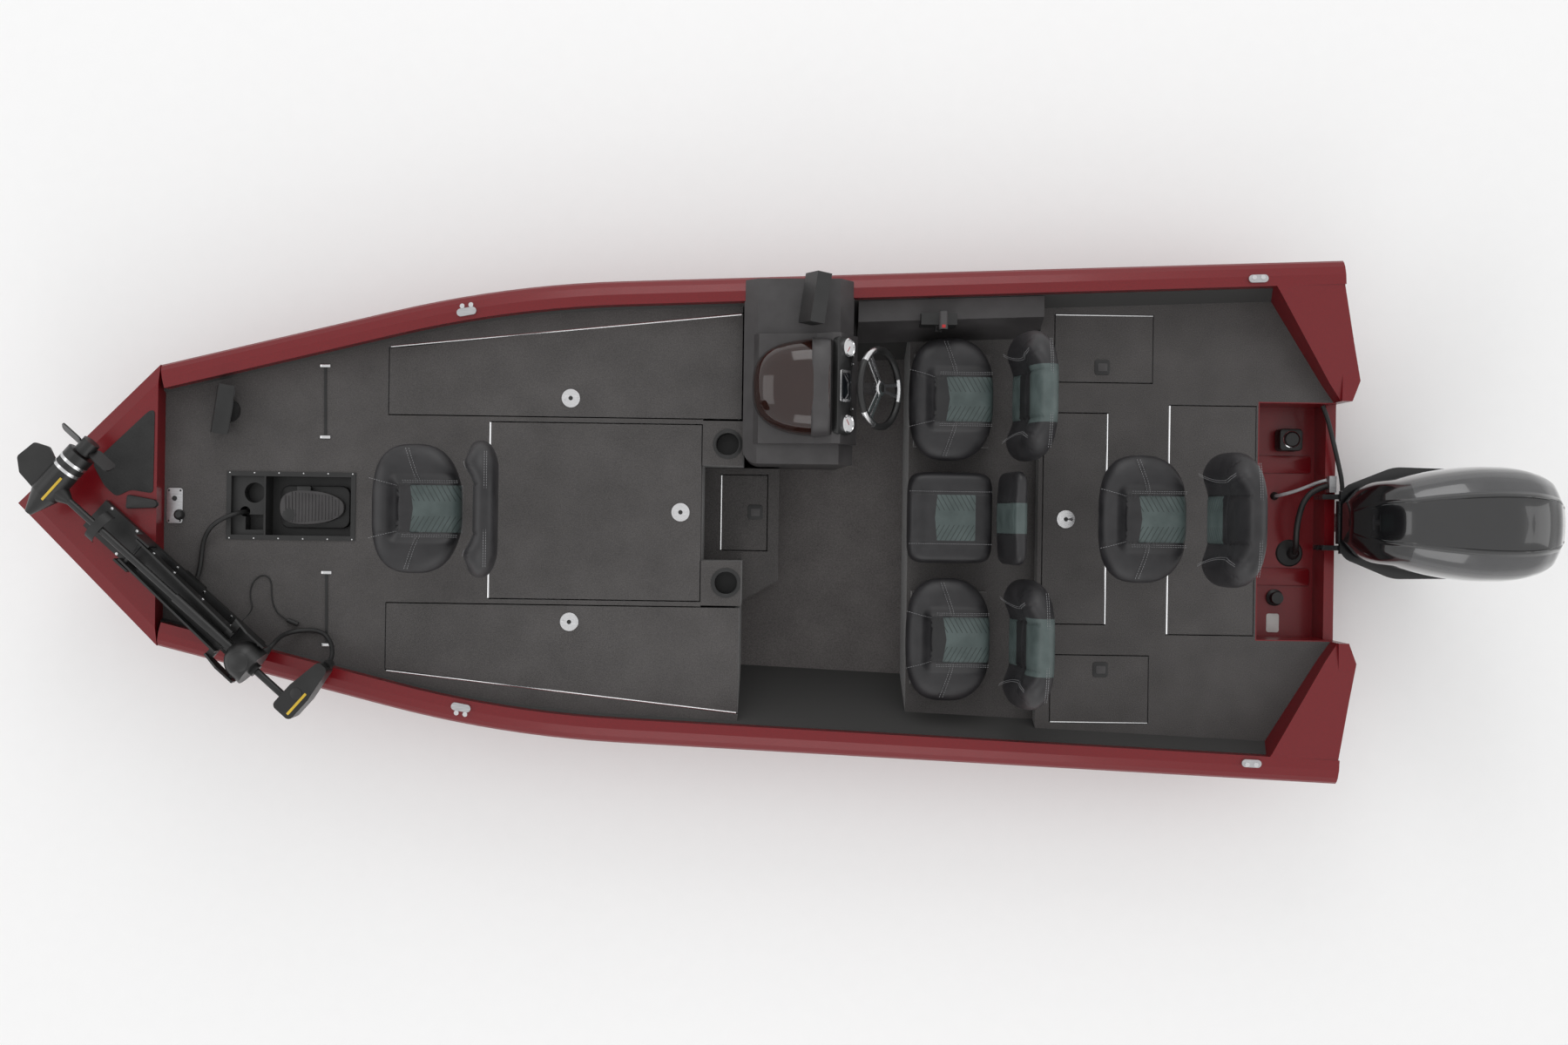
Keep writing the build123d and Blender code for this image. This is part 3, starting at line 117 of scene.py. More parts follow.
def roundedRect(width, depth, radius, count=6):
    # a rectangle's corners swapped for quarter circles; anticlockwise from the +x side
    a = np.linspace(0, math.pi / 2, count)
    out = []
    for cx, cy, turn in ((1, 1, 0), (-1, 1, 1), (-1, -1, 2), (1, -1, 3)):
        t = a + turn * math.pi / 2
        x = cx * (width / 2 - radius) + radius * np.cos(t)
        y = cy * (depth / 2 - radius) + radius * np.sin(t)
        out.append(np.stack([x, y], -1))
    return np.concatenate(out)


def inward(outline, by):
    # each point moved along the mean of its two edge normals
    nxt = np.roll(outline, -1, 0) - outline
    prv = outline - np.roll(outline, 1, 0)
    n = np.stack([-(nxt + prv)[:, 1], (nxt + prv)[:, 0]], -1)
    n /= np.linalg.norm(n, axis=1)[:, None] + 1e-12
    return outline + n * by


def plate(name, outline, z0, z1, edge, mat, body, place=None, sharp=35):
    # a flat plate: its outline at stacked heights, drawn in by edge at the two rims
    steps = [(edge, 0), (edge * 0.3, 0.3), (0, 1), (0, -1), (edge * 0.3, -0.3), (edge, 0)]
    rings = []
    for k, (by, h) in enumerate(steps):
        o = inward(outline, by)
        z = z0 + h * edge if k < 3 else z1 + h * edge
        rings.append(np.column_stack([o, np.full(len(o), z)]))
    rings = np.array(rings)
    if place is not None:
        rings = place(rings)
    return ringStack(name, rings, mat, body, sharp)


def lathe(name, profile, centre, axis, mat, body, cols=40, sharp=35):
    # (radius, height) pairs turned about an axis through centre
    axis = np.array(axis, float) / np.linalg.norm(axis)
    side = np.cross(axis, [0.3, 0.9, 0.2] if abs(axis[1]) < 0.9 else [1, 0, 0])
    side /= np.linalg.norm(side)
    other = np.cross(axis, side)
    a = np.linspace(0, 2 * math.pi, cols, endpoint=False)
    ring = np.cos(a)[:, None] * side + np.sin(a)[:, None] * other
    p = np.array(profile, float)
    rings = np.array(centre, float) + p[:, 0, None, None] * ring + p[:, 1, None, None] * axis
    return ringStack(name, rings, mat, body, sharp)


def along(path, profile, up=(0, 0, 1)):
    # a closed profile carried square along a path; up picks which way its second axis points
    path = np.array(path, float)
    t = np.gradient(path, axis=0)
    t /= np.linalg.norm(t, axis=1)[:, None]
    side = np.cross(t, np.array(up, float))
    side /= np.linalg.norm(side, axis=1)[:, None]
    over = np.cross(side, t)
    p = np.asarray(profile, float)
    rings = path[:, None] + p[None, :, 0, None] * side[:, None] + p[None, :, 1, None] * over[:, None]
    return rings


def circle(radius, cols=12):
    a = np.linspace(0, 2 * math.pi, cols, endpoint=False)
    return np.stack([radius * np.cos(a), radius * np.sin(a)], -1)


def tube(name, path, radius, mat, body, up=(0, 0, 1), cols=12):
    return ringStack(name, along(path, circle(radius, cols), up), mat, body)


def resample(path, spacing):
    # points at equal steps of length along a broken line
    path = np.array(path, float)
    d = np.concatenate([[0], np.cumsum(np.linalg.norm(np.diff(path, axis=0), axis=1))])
    s = np.linspace(0, d[-1], max(2, int(d[-1] / spacing) + 1))
    return np.stack([np.interp(s, d, path[:, k]) for k in range(path.shape[1])], -1)


def stitches(name, paths, mat, body, pitch=0.009, long=0.006, thick=0.0016, lift=0.0008):
    # small bars along sewn lines: one six-sided bar at each step, set along the local direction
    allVerts, allFaces, base = [], [], 0
    for path in paths:
        p = resample(path, pitch)
        if len(p) < 3:
            continue
        t = np.gradient(p, axis=0)
        t /= np.linalg.norm(t, axis=1)[:, None]
        side = np.cross(t, [0, 0, 1.0])
        side /= np.linalg.norm(side, axis=1)[:, None] + 1e-9
        up = np.cross(side, t)
        corners = []
        for a, b, c in ((-1, -1, -.5), (-1, 1, -.5), (-1, 0, 1), (1, -1, -.5), (1, 1, -.5), (1, 0, 1)):
            corners.append(p + t * a * long / 2 + side * b * thick / 2 + up * (c * thick / 2 + lift))
        v = np.stack(corners, 1)
        allVerts.append(v.reshape(-1, 3))
        f = np.array([[0, 2, 1, 1], [3, 4, 5, 5], [0, 3, 5, 2], [1, 2, 5, 4], [0, 1, 4, 3]])
        idx = (np.arange(len(p)) * 6)[:, None, None] + f[None] + base
        allFaces += idx.reshape(-1, 4).tolist()
        base += len(p) * 6
    faces = [[f[0], f[1], f[2]] if f[2] == f[3] else f for f in allFaces]
    return newPiece(name, np.concatenate(allVerts), faces, mat, body, 80)


# shader groups
def newGroup(name, ins, outs):
    g = bpy.data.node_groups.new(name, "ShaderNodeTree")
    for label, kind, value in ins:
        s = g.interface.new_socket(name=label, in_out="INPUT", socket_type=kind)
        if value is not None:
            s.default_value = value
    for label, kind in outs:
        g.interface.new_socket(name=label, in_out="OUTPUT", socket_type=kind)
    return g, g.nodes.new("NodeGroupInput"), g.nodes.new("NodeGroupOutput")


def mathNode(tree, how, a, b=None):
    n = tree.nodes.new("ShaderNodeMath")
    n.operation = how
    for k, v in enumerate((a, b)):
        if v is None:
            continue
        if isinstance(v, (int, float)):
            n.inputs[k].default_value = v
        else:
            tree.links.new(v, n.inputs[k])
    return n.outputs[0]


# fibres: two noises, one at fibre size and one at patch size, give a marl mask and a pile height
marlGroup, gi, go = newGroup(
    "marl", [("Fibre", "NodeSocketFloat", 320.0), ("Patch", "NodeSocketFloat", 9.0)],
    [("Marl", "NodeSocketFloat"), ("Height", "NodeSocketFloat")])
tc = marlGroup.nodes.new("ShaderNodeTexCoord")
for label, key, detail in (("fine", "Fibre", 3), ("soft", "Patch", 2)):
    n = marlGroup.nodes.new("ShaderNodeTexNoise")
    n.name = label
    n.inputs["Detail"].default_value = detail
    marlGroup.links.new(tc.outputs["Object"], n.inputs["Vector"])
    marlGroup.links.new(gi.outputs[key], n.inputs["Scale"])
fine = marlGroup.nodes["fine"].outputs["Fac"]
soft = marlGroup.nodes["soft"].outputs["Fac"]
mixed = mathNode(marlGroup, "ADD", mathNode(marlGroup, "MULTIPLY", fine, 0.72),
                 mathNode(marlGroup, "MULTIPLY", soft, 0.28))
marlGroup.links.new(mixed, go.inputs["Marl"])
marlGroup.links.new(fine, go.inputs["Height"])

# grain: a cell pattern under a fine noise, for vinyl and moulded plastic
grainGroup, gi, go = newGroup(
    "grain", [("Scale", "NodeSocketFloat", 400.0)],
    [("Height", "NodeSocketFloat"), ("Cloud", "NodeSocketFloat")])
tc = grainGroup.nodes.new("ShaderNodeTexCoord")
v = grainGroup.nodes.new("ShaderNodeTexVoronoi")
n = grainGroup.nodes.new("ShaderNodeTexNoise")
n.inputs["Scale"].default_value = 14.0
n.inputs["Detail"].default_value = 4.0
for node in (v, n):
    grainGroup.links.new(tc.outputs["Object"], node.inputs["Vector"])
grainGroup.links.new(gi.outputs["Scale"], v.inputs["Scale"])
grainGroup.links.new(v.outputs["Distance"], go.inputs["Height"])
grainGroup.links.new(n.outputs["Fac"], go.inputs["Cloud"])

# brushed: a noise stretched along one axis, with cloudy handling marks
brushGroup, gi, go = newGroup(
    "brushed", [("Scale", "NodeSocketFloat", 60.0)],
    [("Lines", "NodeSocketFloat"), ("Marks", "NodeSocketFloat")])
tc = brushGroup.nodes.new("ShaderNodeTexCoord")
mp = brushGroup.nodes.new("ShaderNodeMapping")
mp.inputs["Scale"].default_value = (1.0, 24.0, 24.0)
brushGroup.links.new(tc.outputs["Object"], mp.inputs["Vector"])
for label, out in (("lines", "Lines"), ("marks", "Marks")):
    n = brushGroup.nodes.new("ShaderNodeTexNoise")
    n.inputs["Scale"].default_value = 8.0
    n.inputs["Detail"].default_value = 5.0
    source = mp.outputs["Vector"] if label == "lines" else tc.outputs["Object"]
    brushGroup.links.new(source, n.inputs["Vector"])
    if label == "lines":
        brushGroup.links.new(gi.outputs["Scale"], n.inputs["Scale"])
    brushGroup.links.new(n.outputs["Fac"], go.inputs[out])


# materials
def startMaterial(name, metallic=0.0, rough=0.5, coat=0.0, coatRough=0.1, sheen=0.0, ior=1.5):
    mat = bpy.data.materials.new(name)
    mat.use_nodes = True
    tree = mat.node_tree
    bsdf = tree.nodes["Principled BSDF"]
    bsdf.inputs["Metallic"].default_value = metallic
    bsdf.inputs["Roughness"].default_value = rough
    bsdf.inputs["Coat Weight"].default_value = coat
    bsdf.inputs["Coat Roughness"].default_value = coatRough
    bsdf.inputs["Sheen Weight"].default_value = sheen
    bsdf.inputs["IOR"].default_value = ior
    return mat, tree, bsdf


def useGroup(tree, group, **values):
    n = tree.nodes.new("ShaderNodeGroup")
    n.node_tree = group
    for k, v in values.items():
        n.inputs[k].default_value = v
    return n


def mixColour(tree, fac, low, high, start=0.0, end=1.0):
    r = tree.nodes.new("ShaderNodeValToRGB")
    r.color_ramp.elements[0].position = start
    r.color_ramp.elements[1].position = end
    r.color_ramp.elements[0].color = (*low, 1)
    r.color_ramp.elements[1].color = (*high, 1)
    tree.links.new(fac, r.inputs["Fac"])
    return r.outputs["Color"]


def bump(tree, bsdf, height, strength, distance=0.001):
    b = tree.nodes.new("ShaderNodeBump")
    b.inputs["Strength"].default_value = strength
    b.inputs["Distance"].default_value = distance
    tree.links.new(height, b.inputs["Height"])
    tree.links.new(b.outputs["Normal"], bsdf.inputs["Normal"])


def spreadRough(tree, bsdf, fac, low, high):
    m = tree.nodes.new("ShaderNodeMapRange")
    m.inputs["To Min"].default_value = low
    m.inputs["To Max"].default_value = high
    tree.links.new(fac, m.inputs["Value"])
    tree.links.new(m.outputs["Result"], bsdf.inputs["Roughness"])


def carpetMaterial(name, low, high, fibre=260.0):
    mat, tree, bsdf = startMaterial(name, rough=0.95, sheen=0.25)
    g = useGroup(tree, marlGroup, Fibre=fibre, Patch=7.0)
    tree.links.new(mixColour(tree, g.outputs["Marl"], low, high, 0.20, 0.82), bsdf.inputs["Base Color"])
    bump(tree, bsdf, g.outputs["Height"], 0.5, 0.003)
    return mat


def grainMaterial(name, low, high, rough=(0.35, 0.55), scale=420.0, strength=0.2, coat=0.0,
                  metallic=0.0, distance=0.0006):
    mat, tree, bsdf = startMaterial(name, metallic=metallic, coat=coat)
    g = useGroup(tree, grainGroup, Scale=scale)
    tree.links.new(mixColour(tree, g.outputs["Cloud"], low, high, 0.3, 0.7), bsdf.inputs["Base Color"])
    spreadRough(tree, bsdf, g.outputs["Cloud"], *rough)
    bump(tree, bsdf, g.outputs["Height"], strength, distance)
    return mat


def metalMaterial(name, low, high, rough=(0.25, 0.45), scale=60.0):
    mat, tree, bsdf = startMaterial(name, metallic=1.0)
    g = useGroup(tree, brushGroup, Scale=scale)
    tree.links.new(mixColour(tree, g.outputs["Lines"], low, high, 0.3, 0.7), bsdf.inputs["Base Color"])
    spreadRough(tree, bsdf, g.outputs["Marks"], *rough)
    bump(tree, bsdf, g.outputs["Lines"], 0.08, 0.0004)
    return mat


def paintMaterial(name, deep, bright, below=None, waterline=0.0, liner=None):
    # flakes lie under a clear coat; below the waterline the bare sheet shows
    mat, tree, bsdf = startMaterial(name, metallic=0.15, coat=0.20, coatRough=0.12)
    g = useGroup(tree, grainGroup, Scale=900.0)
    colour = mixColour(tree, g.outputs["Height"], bright, deep, 0.1, 0.75)
    if below:
        tc = tree.nodes.new("ShaderNodeTexCoord")
        sep = tree.nodes.new("ShaderNodeSeparateXYZ")
        tree.links.new(tc.outputs["Object"], sep.inputs[0])
        mask = mathNode(tree, "GREATER_THAN", sep.outputs["Z"], waterline)
        mix = tree.nodes.new("ShaderNodeMix")
        mix.data_type = "RGBA"
        tree.links.new(mask, mix.inputs["Factor"])
        mix.inputs["A"].default_value = (*below, 1)
        tree.links.new(colour, mix.inputs["B"])
        colour = mix.outputs["Result"]
    rough = (0.26, 0.38)
    if liner:
        # the side that faces the centreline is the carpeted inner liner
        turned = tree.nodes.new("ShaderNodeSeparateXYZ")
        tree.links.new(tc.outputs["Normal"], turned.inputs[0])
        inner = mathNode(tree, "LESS_THAN", mathNode(tree, "MULTIPLY", turned.outputs["Y"],
                                                     sep.outputs["Y"]), 0.02)
        mix = tree.nodes.new("ShaderNodeMix")
        mix.data_type = "RGBA"
        tree.links.new(inner, mix.inputs["Factor"])
        tree.links.new(colour, mix.inputs["A"])
        mix.inputs["B"].default_value = (*liner, 1)
        colour = mix.outputs["Result"]
        outer = mathNode(tree, "SUBTRACT", 1.0, inner)
        tree.links.new(mathNode(tree, "MULTIPLY", outer, 0.35), bsdf.inputs["Coat Weight"])
        tree.links.new(mathNode(tree, "MULTIPLY", outer, 0.15), bsdf.inputs["Metallic"])
        tree.links.new(mathNode(tree, "ADD", 0.3, mathNode(tree, "MULTIPLY", inner, 0.6)),
                       bsdf.inputs["Roughness"])
    else:
        spreadRough(tree, bsdf, g.outputs["Cloud"], *rough)
    tree.links.new(colour, bsdf.inputs["Base Color"])
    bump(tree, bsdf, g.outputs["Cloud"], 0.05, 0.002)
    return mat


finish = {
    "carpetDark": (0.030, 0.028, 0.0275), "carpetLight": (0.108, 0.101, 0.099),
    "redDeep": (0.115, 0.001, 0.004), "redBright": (0.235, 0.002, 0.007),
    "vinylDark": (0.012, 0.0115, 0.013), "vinylLight": (0.024, 0.023, 0.025),
    "tealDark": (0.052, 0.072, 0.070), "tealLight": (0.088, 0.116, 0.113),
    "thread": (0.24, 0.24, 0.25), }
carpet = carpetMaterial("marineCarpet", finish["carpetDark"], finish["carpetLight"])
carpetLid = carpetMaterial("marineCarpetLids", finish["carpetDark"], (0.112, 0.105, 0.103), 240.0)
# painted light: the same carpet made lighter for the cockpit floor, lifting the shade that falls on it
carpetFloorLit = carpetMaterial("marineCarpetFloorPaintedLight", (0.060, 0.055, 0.054), (0.190, 0.176, 0.172), 240.0)
red = paintMaterial("flakeRed", finish["redDeep"], finish["redBright"])
hullPaint = paintMaterial("hullRed", finish["redDeep"], finish["redBright"], (0.34, 0.34, 0.35), 0.03)
hullSide = paintMaterial("hullSideRed", finish["redDeep"], finish["redBright"], (0.34, 0.34, 0.35), 0.03,
                         (0.045, 0.044, 0.043))
alloy = metalMaterial("bareAlloy", (0.42, 0.42, 0.43), (0.60, 0.60, 0.61), (0.35, 0.6), 25.0)
binAlloy = metalMaterial("binSheet", (0.30, 0.30, 0.31), (0.45, 0.45, 0.46), (0.4, 0.6), 25.0)
chrome = metalMaterial("brightMetal", (0.62, 0.62, 0.63), (0.80, 0.80, 0.81), (0.12, 0.3), 80.0)
vinyl = grainMaterial("seatVinyl", finish["vinylDark"], finish["vinylLight"], (0.46, 0.60), 520.0, 0.25)
thread = grainMaterial("thread", finish["thread"], (0.32, 0.32, 0.33), (0.6, 0.8), 900.0, 0.2)
greyShell = grainMaterial("consoleShell", (0.040, 0.037, 0.038), (0.056, 0.053, 0.054),
                          (0.42, 0.56), 380.0, 0.22)
blackShell = grainMaterial("blackMoulding", (0.010, 0.010, 0.010), (0.018, 0.018, 0.018),
                           (0.38, 0.55), 420.0, 0.22)
gloss = grainMaterial("cowlGloss", (0.0045, 0.0045, 0.005), (0.008, 0.008, 0.009),
                      (0.16, 0.24), 30.0, 0.02, coat=0.4)
legPaint = grainMaterial("legPaint", (0.008, 0.008, 0.009), (0.014, 0.014, 0.015),
                         (0.22, 0.34), 200.0, 0.06, coat=0.6)
motorPaint = grainMaterial("motorBlack", (0.007, 0.007, 0.007), (0.013, 0.013, 0.013),
                           (0.28, 0.45), 300.0, 0.12)
rubber = grainMaterial("cordRubber", (0.006, 0.006, 0.006), (0.012, 0.012, 0.012),
                       (0.45, 0.6), 500.0, 0.15)
greyRubber = grainMaterial("hoseGrey", (0.30, 0.30, 0.31), (0.40, 0.40, 0.41), (0.4, 0.55), 300.0, 0.1)
castIron = grainMaterial("engineBlock", (0.08, 0.08, 0.08), (0.14, 0.14, 0.14), (0.5, 0.7), 150.0, 0.3)
yellow = grainMaterial("yellowMark", (0.55, 0.36, 0.02), (0.68, 0.46, 0.04), (0.35, 0.5), 300.0, 0.05)
whiteLabel = grainMaterial("blankLabel", (0.62, 0.62, 0.60), (0.70, 0.70, 0.68), (0.4, 0.5), 300.0, 0.04)
redPlastic = grainMaterial("redPlastic", (0.34, 0.008, 0.010), (0.42, 0.012, 0.014),
                           (0.3, 0.4), 300.0, 0.05)
treadPad = grainMaterial("treadPad", (0.014, 0.014, 0.014), (0.024, 0.024, 0.024),
                         (0.7, 0.85), 160.0, 0.6, distance=0.002)


def glassMaterial(name, colour, alpha):
    mat, tree, bsdf = startMaterial(name, rough=0.06, coat=0.5)
    g = useGroup(tree, grainGroup, Scale=40.0)
    tree.links.new(mixColour(tree, g.outputs["Cloud"], colour, tuple(c * 1.3 for c in colour)),
                   bsdf.inputs["Base Color"])
    bsdf.inputs["Alpha"].default_value = alpha
    return mat


tinted = glassMaterial("smokeScreen", (0.022, 0.008, 0.006), 0.80)
screenGlass = glassMaterial("screenGlass", (0.004, 0.005, 0.007), 1.0)

# finishes on the frame's own nodes
nodeFinish = {
    "hull_bottom": hullPaint, "hull_sides": hullSide, "transom": hullPaint, "bow_plate": red,
    "gunwales": red, "stern_caps": red, "splash_well": red, "storage_bins": binAlloy,
    "cockpit_floor": carpetFloorLit, "bow_deck": carpet, "aft_deck": carpet, "forward_bulkhead": carpet,
    "cup_holder_blocks": carpet, "step_box": carpet, "seat_box": carpet,
    "rod_locker_lid_starboard": carpetLid, "rod_locker_lid_port": carpetLid,
    "centre_storage_lid": carpetLid, "step_cooler_lid": carpetLid, "aft_lid_starboard": carpetLid,
    "aft_lid_port": carpetLid, "livewell_lid": carpetLid, "battery_lid": carpetLid,
    "pedal_tray": blackShell, "foot_pedal": greyShell, "console_body": greyShell,
    "console_side_panel": greyShell, "windscreen": tinted, "steering_wheel": blackShell,
    "throttle": blackShell, "fish_finders": blackShell, "deck_fittings": alloy,
    "bow_seat_post": alloy, "aft_seat_post": alloy, "engine_bracket": legPaint,
    "engine_swivel_bracket": legPaint, "engine_cowl": gloss, "engine_lower_cowl": gloss,
    "engine_powerhead": castIron, "engine_leg": legPaint, "engine_propeller": legPaint,
    "bow_motor_mount": motorPaint, "bow_motor_arm": motorPaint, "bow_motor_collar": motorPaint,
    "bow_motor_shaft": motorPaint, "bow_motor_propeller": motorPaint, }
for nodeName, mat in nodeFinish.items():
    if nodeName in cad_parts:
        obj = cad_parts[nodeName]
        if not obj.material_slots:
            obj.data.materials.append(mat)
        for s in obj.material_slots:
            s.material = mat
print("finishes set")

# camera, floor and light
studio = {"cameraX": 0.381, "cameraY": -0.0323, "cameraZ": 6.86, "lens": 37.3, "turn": 0.834}
cam = bpy.data.cameras.new("overhead")
cam.lens = studio["lens"]
cam.sensor_width = 36
cam.clip_end = 200
camera = bpy.data.objects.new("overhead", cam)
camera.location = (studio["cameraX"], studio["cameraY"], studio["cameraZ"])
camera.rotation_euler = (0, 0, math.radians(studio["turn"]))
bpy.context.scene.collection.objects.link(camera)
bpy.context.scene.camera = camera

floorMat, tree, bsdf = startMaterial("paleFloor", rough=0.9)
g = useGroup(tree, grainGroup, Scale=20.0)
tree.links.new(mixColour(tree, g.outputs["Cloud"], (0.90, 0.90, 0.90), (0.92, 0.92, 0.92)),
               bsdf.inputs["Base Color"])
floorMesh = bpy.data.meshes.new("floor")
floorMesh.from_pydata([(-40, -40, 0), (40, -40, 0), (40, 40, 0), (-40, 40, 0)], [], [[0, 1, 2, 3]])
floorMesh.materials.append(floorMat)
floorObj = bpy.data.objects.new("floor", floorMesh)
bpy.context.scene.collection.objects.link(floorObj)
floorObj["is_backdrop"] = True

lights = {
    "starboard": ((0.3, 7.5, 5.0), (-0.98, 0, 0), 5.0, 150),
    "port": ((0.3, -7.5, 5.0), (0.98, 0, 0), 5.0, 110),
    "fore": ((-8.0, 0.0, 5.0), (0, -0.98, 0), 5.0, 80),
    "aft": ((9.0, 0.0, 5.0), (0, 0.98, 0), 5.0, 80), }
for label, (place, turn, size, power) in lights.items():
    data = bpy.data.lights.new(label, "AREA")
    data.size = size
    data.energy = power
    lamp = bpy.data.objects.new(label, data)
    lamp.location = place
    lamp.rotation_euler = turn
    bpy.context.scene.collection.objects.link(lamp)
world = bpy.data.worlds.new("studio")
world.use_nodes = True
world.node_tree.nodes["Background"].inputs["Color"].default_value = (1, 1, 1, 1)
world.node_tree.nodes["Background"].inputs["Strength"].default_value = 0.80
bpy.context.scene.world = world
bpy.context.scene.view_settings.view_transform = "Standard"
print("stage ready")


# seats
def panelMaterial(name, patches, skin=vinyl):
    # the vinyl with crisp panels on its own map: across the seat in U, along it in V
    mat, tree, bsdf = startMaterial(name)
    g = useGroup(tree, grainGroup, Scale=520.0)
    uv = tree.nodes.new("ShaderNodeUVMap")
    uv.uv_map = "panel"
    sep = tree.nodes.new("ShaderNodeSeparateXYZ")
    tree.links.new(uv.outputs["UV"], sep.inputs[0])
    across = mathNode(tree, "ABSOLUTE", mathNode(tree, "SUBTRACT", sep.outputs["X"], 0.5))
    along_ = sep.outputs["Y"]
    colour = mixColour(tree, g.outputs["Cloud"], finish["vinylDark"], finish["vinylLight"], 0.3, 0.7)
    height = mathNode(tree, "MULTIPLY", g.outputs["Height"], 0.35)
    for patch in patches:
        start = mathNode(tree, "ADD", mathNode(tree, "MULTIPLY", across, -patch.get("notch", 0.0)),
                         patch["start"] + patch.get("notch", 0.0) * patch["half"])
        mask = mathNode(tree, "MULTIPLY", mathNode(tree, "GREATER_THAN", along_, start),
                        mathNode(tree, "LESS_THAN", along_, patch["end"]))
        mask = mathNode(tree, "MULTIPLY", mask, mathNode(tree, "LESS_THAN", across, patch["half"]))
        low, high = patch["colours"]
        tone = mixColour(tree, g.outputs["Cloud"], low, high, 0.3, 0.7)
        if patch.get("ribs"):
            slant = mathNode(tree, "ADD", mathNode(tree, "MULTIPLY", along_, 52.0),
                             mathNode(tree, "MULTIPLY", across, patch["ribs"] * 30.0))
            saw = mathNode(tree, "ABSOLUTE", mathNode(tree, "SUBTRACT",
                                                      mathNode(tree, "FRACT", slant), 0.5))
            rib = mathNode(tree, "MULTIPLY", mathNode(tree, "LESS_THAN", saw, 0.09),
                           mathNode(tree, "GREATER_THAN", across, 0.028))
            rib = mathNode(tree, "MULTIPLY", rib, mask)
            height = mathNode(tree, "SUBTRACT", height, mathNode(tree, "MULTIPLY", rib, 1.5))
            # painted shade in the rib grooves: along each groove the panel colour is darkened to 0.55 of its
            # low tone
            ribShade = tree.nodes.new("ShaderNodeMix")
            ribShade.data_type = "RGBA"
            ribShade.inputs["B"].default_value = (low[0] * 0.55, low[1] * 0.55, low[2] * 0.55, 1)
            tree.links.new(rib, ribShade.inputs["Factor"])
            tree.links.new(tone, ribShade.inputs["A"])
            tone = ribShade.outputs["Result"]
        mix = tree.nodes.new("ShaderNodeMix")
        mix.data_type = "RGBA"
        tree.links.new(mask, mix.inputs["Factor"])
        tree.links.new(colour, mix.inputs["A"])
        tree.links.new(tone, mix.inputs["B"])
        colour = mix.outputs["Result"]
    tree.links.new(colour, bsdf.inputs["Base Color"])
    spreadRough(tree, bsdf, g.outputs["Cloud"], 0.40, 0.54)
    bump(tree, bsdf, height, 0.3, 0.0012)
    return mat


tealTones = (finish["tealDark"], finish["tealLight"])
blackTones = ((0.010, 0.010, 0.011), (0.017, 0.017, 0.018))
cushionMat = panelMaterial("cushionPanels", [
    {"start": 0.105, "end": 0.40, "half": 0.088, "colours": blackTones},
    {"start": 0.148, "end": 0.40, "half": 0.088, "colours": tealTones, "notch": 0.16, "ribs": 1.0}])
deckCushionMat = panelMaterial("deckCushionPanels", [
    {"start": 0.150, "end": 0.40, "half": 0.088, "colours": tealTones, "notch": 0.14, "ribs": 1.0}])
backMat = panelMaterial("backPanels", [
    {"start": 0.0, "end": 0.19, "half": 0.088, "colours": blackTones},
    {"start": 0.0, "end": 0.135, "half": 0.088, "colours": tealTones, "ribs": -1.0},
    {"start": 0.27, "end": 0.60, "half": 0.108, "colours": tealTones}])
deckBackMat = panelMaterial("deckBackPanels", [
    {"start": 0.0, "end": 0.17, "half": 0.088, "colours": tealTones, "ribs": -1.0}])


def smooth(x, low, high):
    s = np.clip((x - low) / (high - low), 0, 1)
    return s * s * (3 - 2 * s)


def superOutline(half, reach, power, squeeze, cols):
    # a superellipse whose far end is squeezed in width: (across, along) about its own middle
    a = np.linspace(0, 2 * math.pi, cols, endpoint=False)
    u = half * np.sign(np.cos(a)) * np.abs(np.cos(a)) ** (2 / power)
    v = reach * np.sign(np.sin(a)) * np.abs(np.sin(a)) ** (2 / power)
    return np.stack([u * (1 - squeeze * np.clip(v / reach, 0, 1) ** 2), v], -1)


def padSkin(name, outline, middle, front, rear, place, mat, body, rows=46, roll=9.0):
    # a crowned pad: polar rings over the outline, each face falling to the rim as (1 - t^roll)^0.5
    t = np.sin(np.linspace(0.02, 1, rows) * math.pi / 2)
    t[-1] = 1.0
    flat = np.array(middle) + t[:, None, None] * outline[None]
    fall = np.sqrt(np.clip(1 - t ** roll, 0, 1))[:, None]
    u, v = flat[..., 0], flat[..., 1]
    top, low = front(u, v), rear(u, v)
    mid = (top + low) / 2
    upper = np.stack([u, v, mid + (top - mid) * fall], -1)
    lower = np.stack([u, v, mid + (low - mid) * fall], -1)[::-1][1:]
    rings = np.concatenate([upper, lower])
    world = place(rings)
    obj = ringStack(name, world, mat, body, 60)
    uvs = np.concatenate([rings[..., :2].reshape(-1, 2), np.array([middle, middle])])
    layer = obj.data.uv_layers.new(name="panel")
    index = np.zeros(len(obj.data.loops), int)
    obj.data.loops.foreach_get("vertex_index", index)
    layer.data.foreach_set("uv", (uvs[index] + np.array([0.5, 0.0])).ravel())
    return obj


seatShape = {"depth": 0.340, "thickness": 0.115, "half": 0.245, "panelHalf": 0.088,
             "panelStart": 0.105, "bolster": 0.113, "hollow": 0.088, "backHeight": 0.430,
             "backThickness": 0.085, "wing": 0.040, "lean": 11.0}


def groove(distance, width=0.0035, depth=0.005):
    return -depth * np.exp(-(distance / width) ** 2)


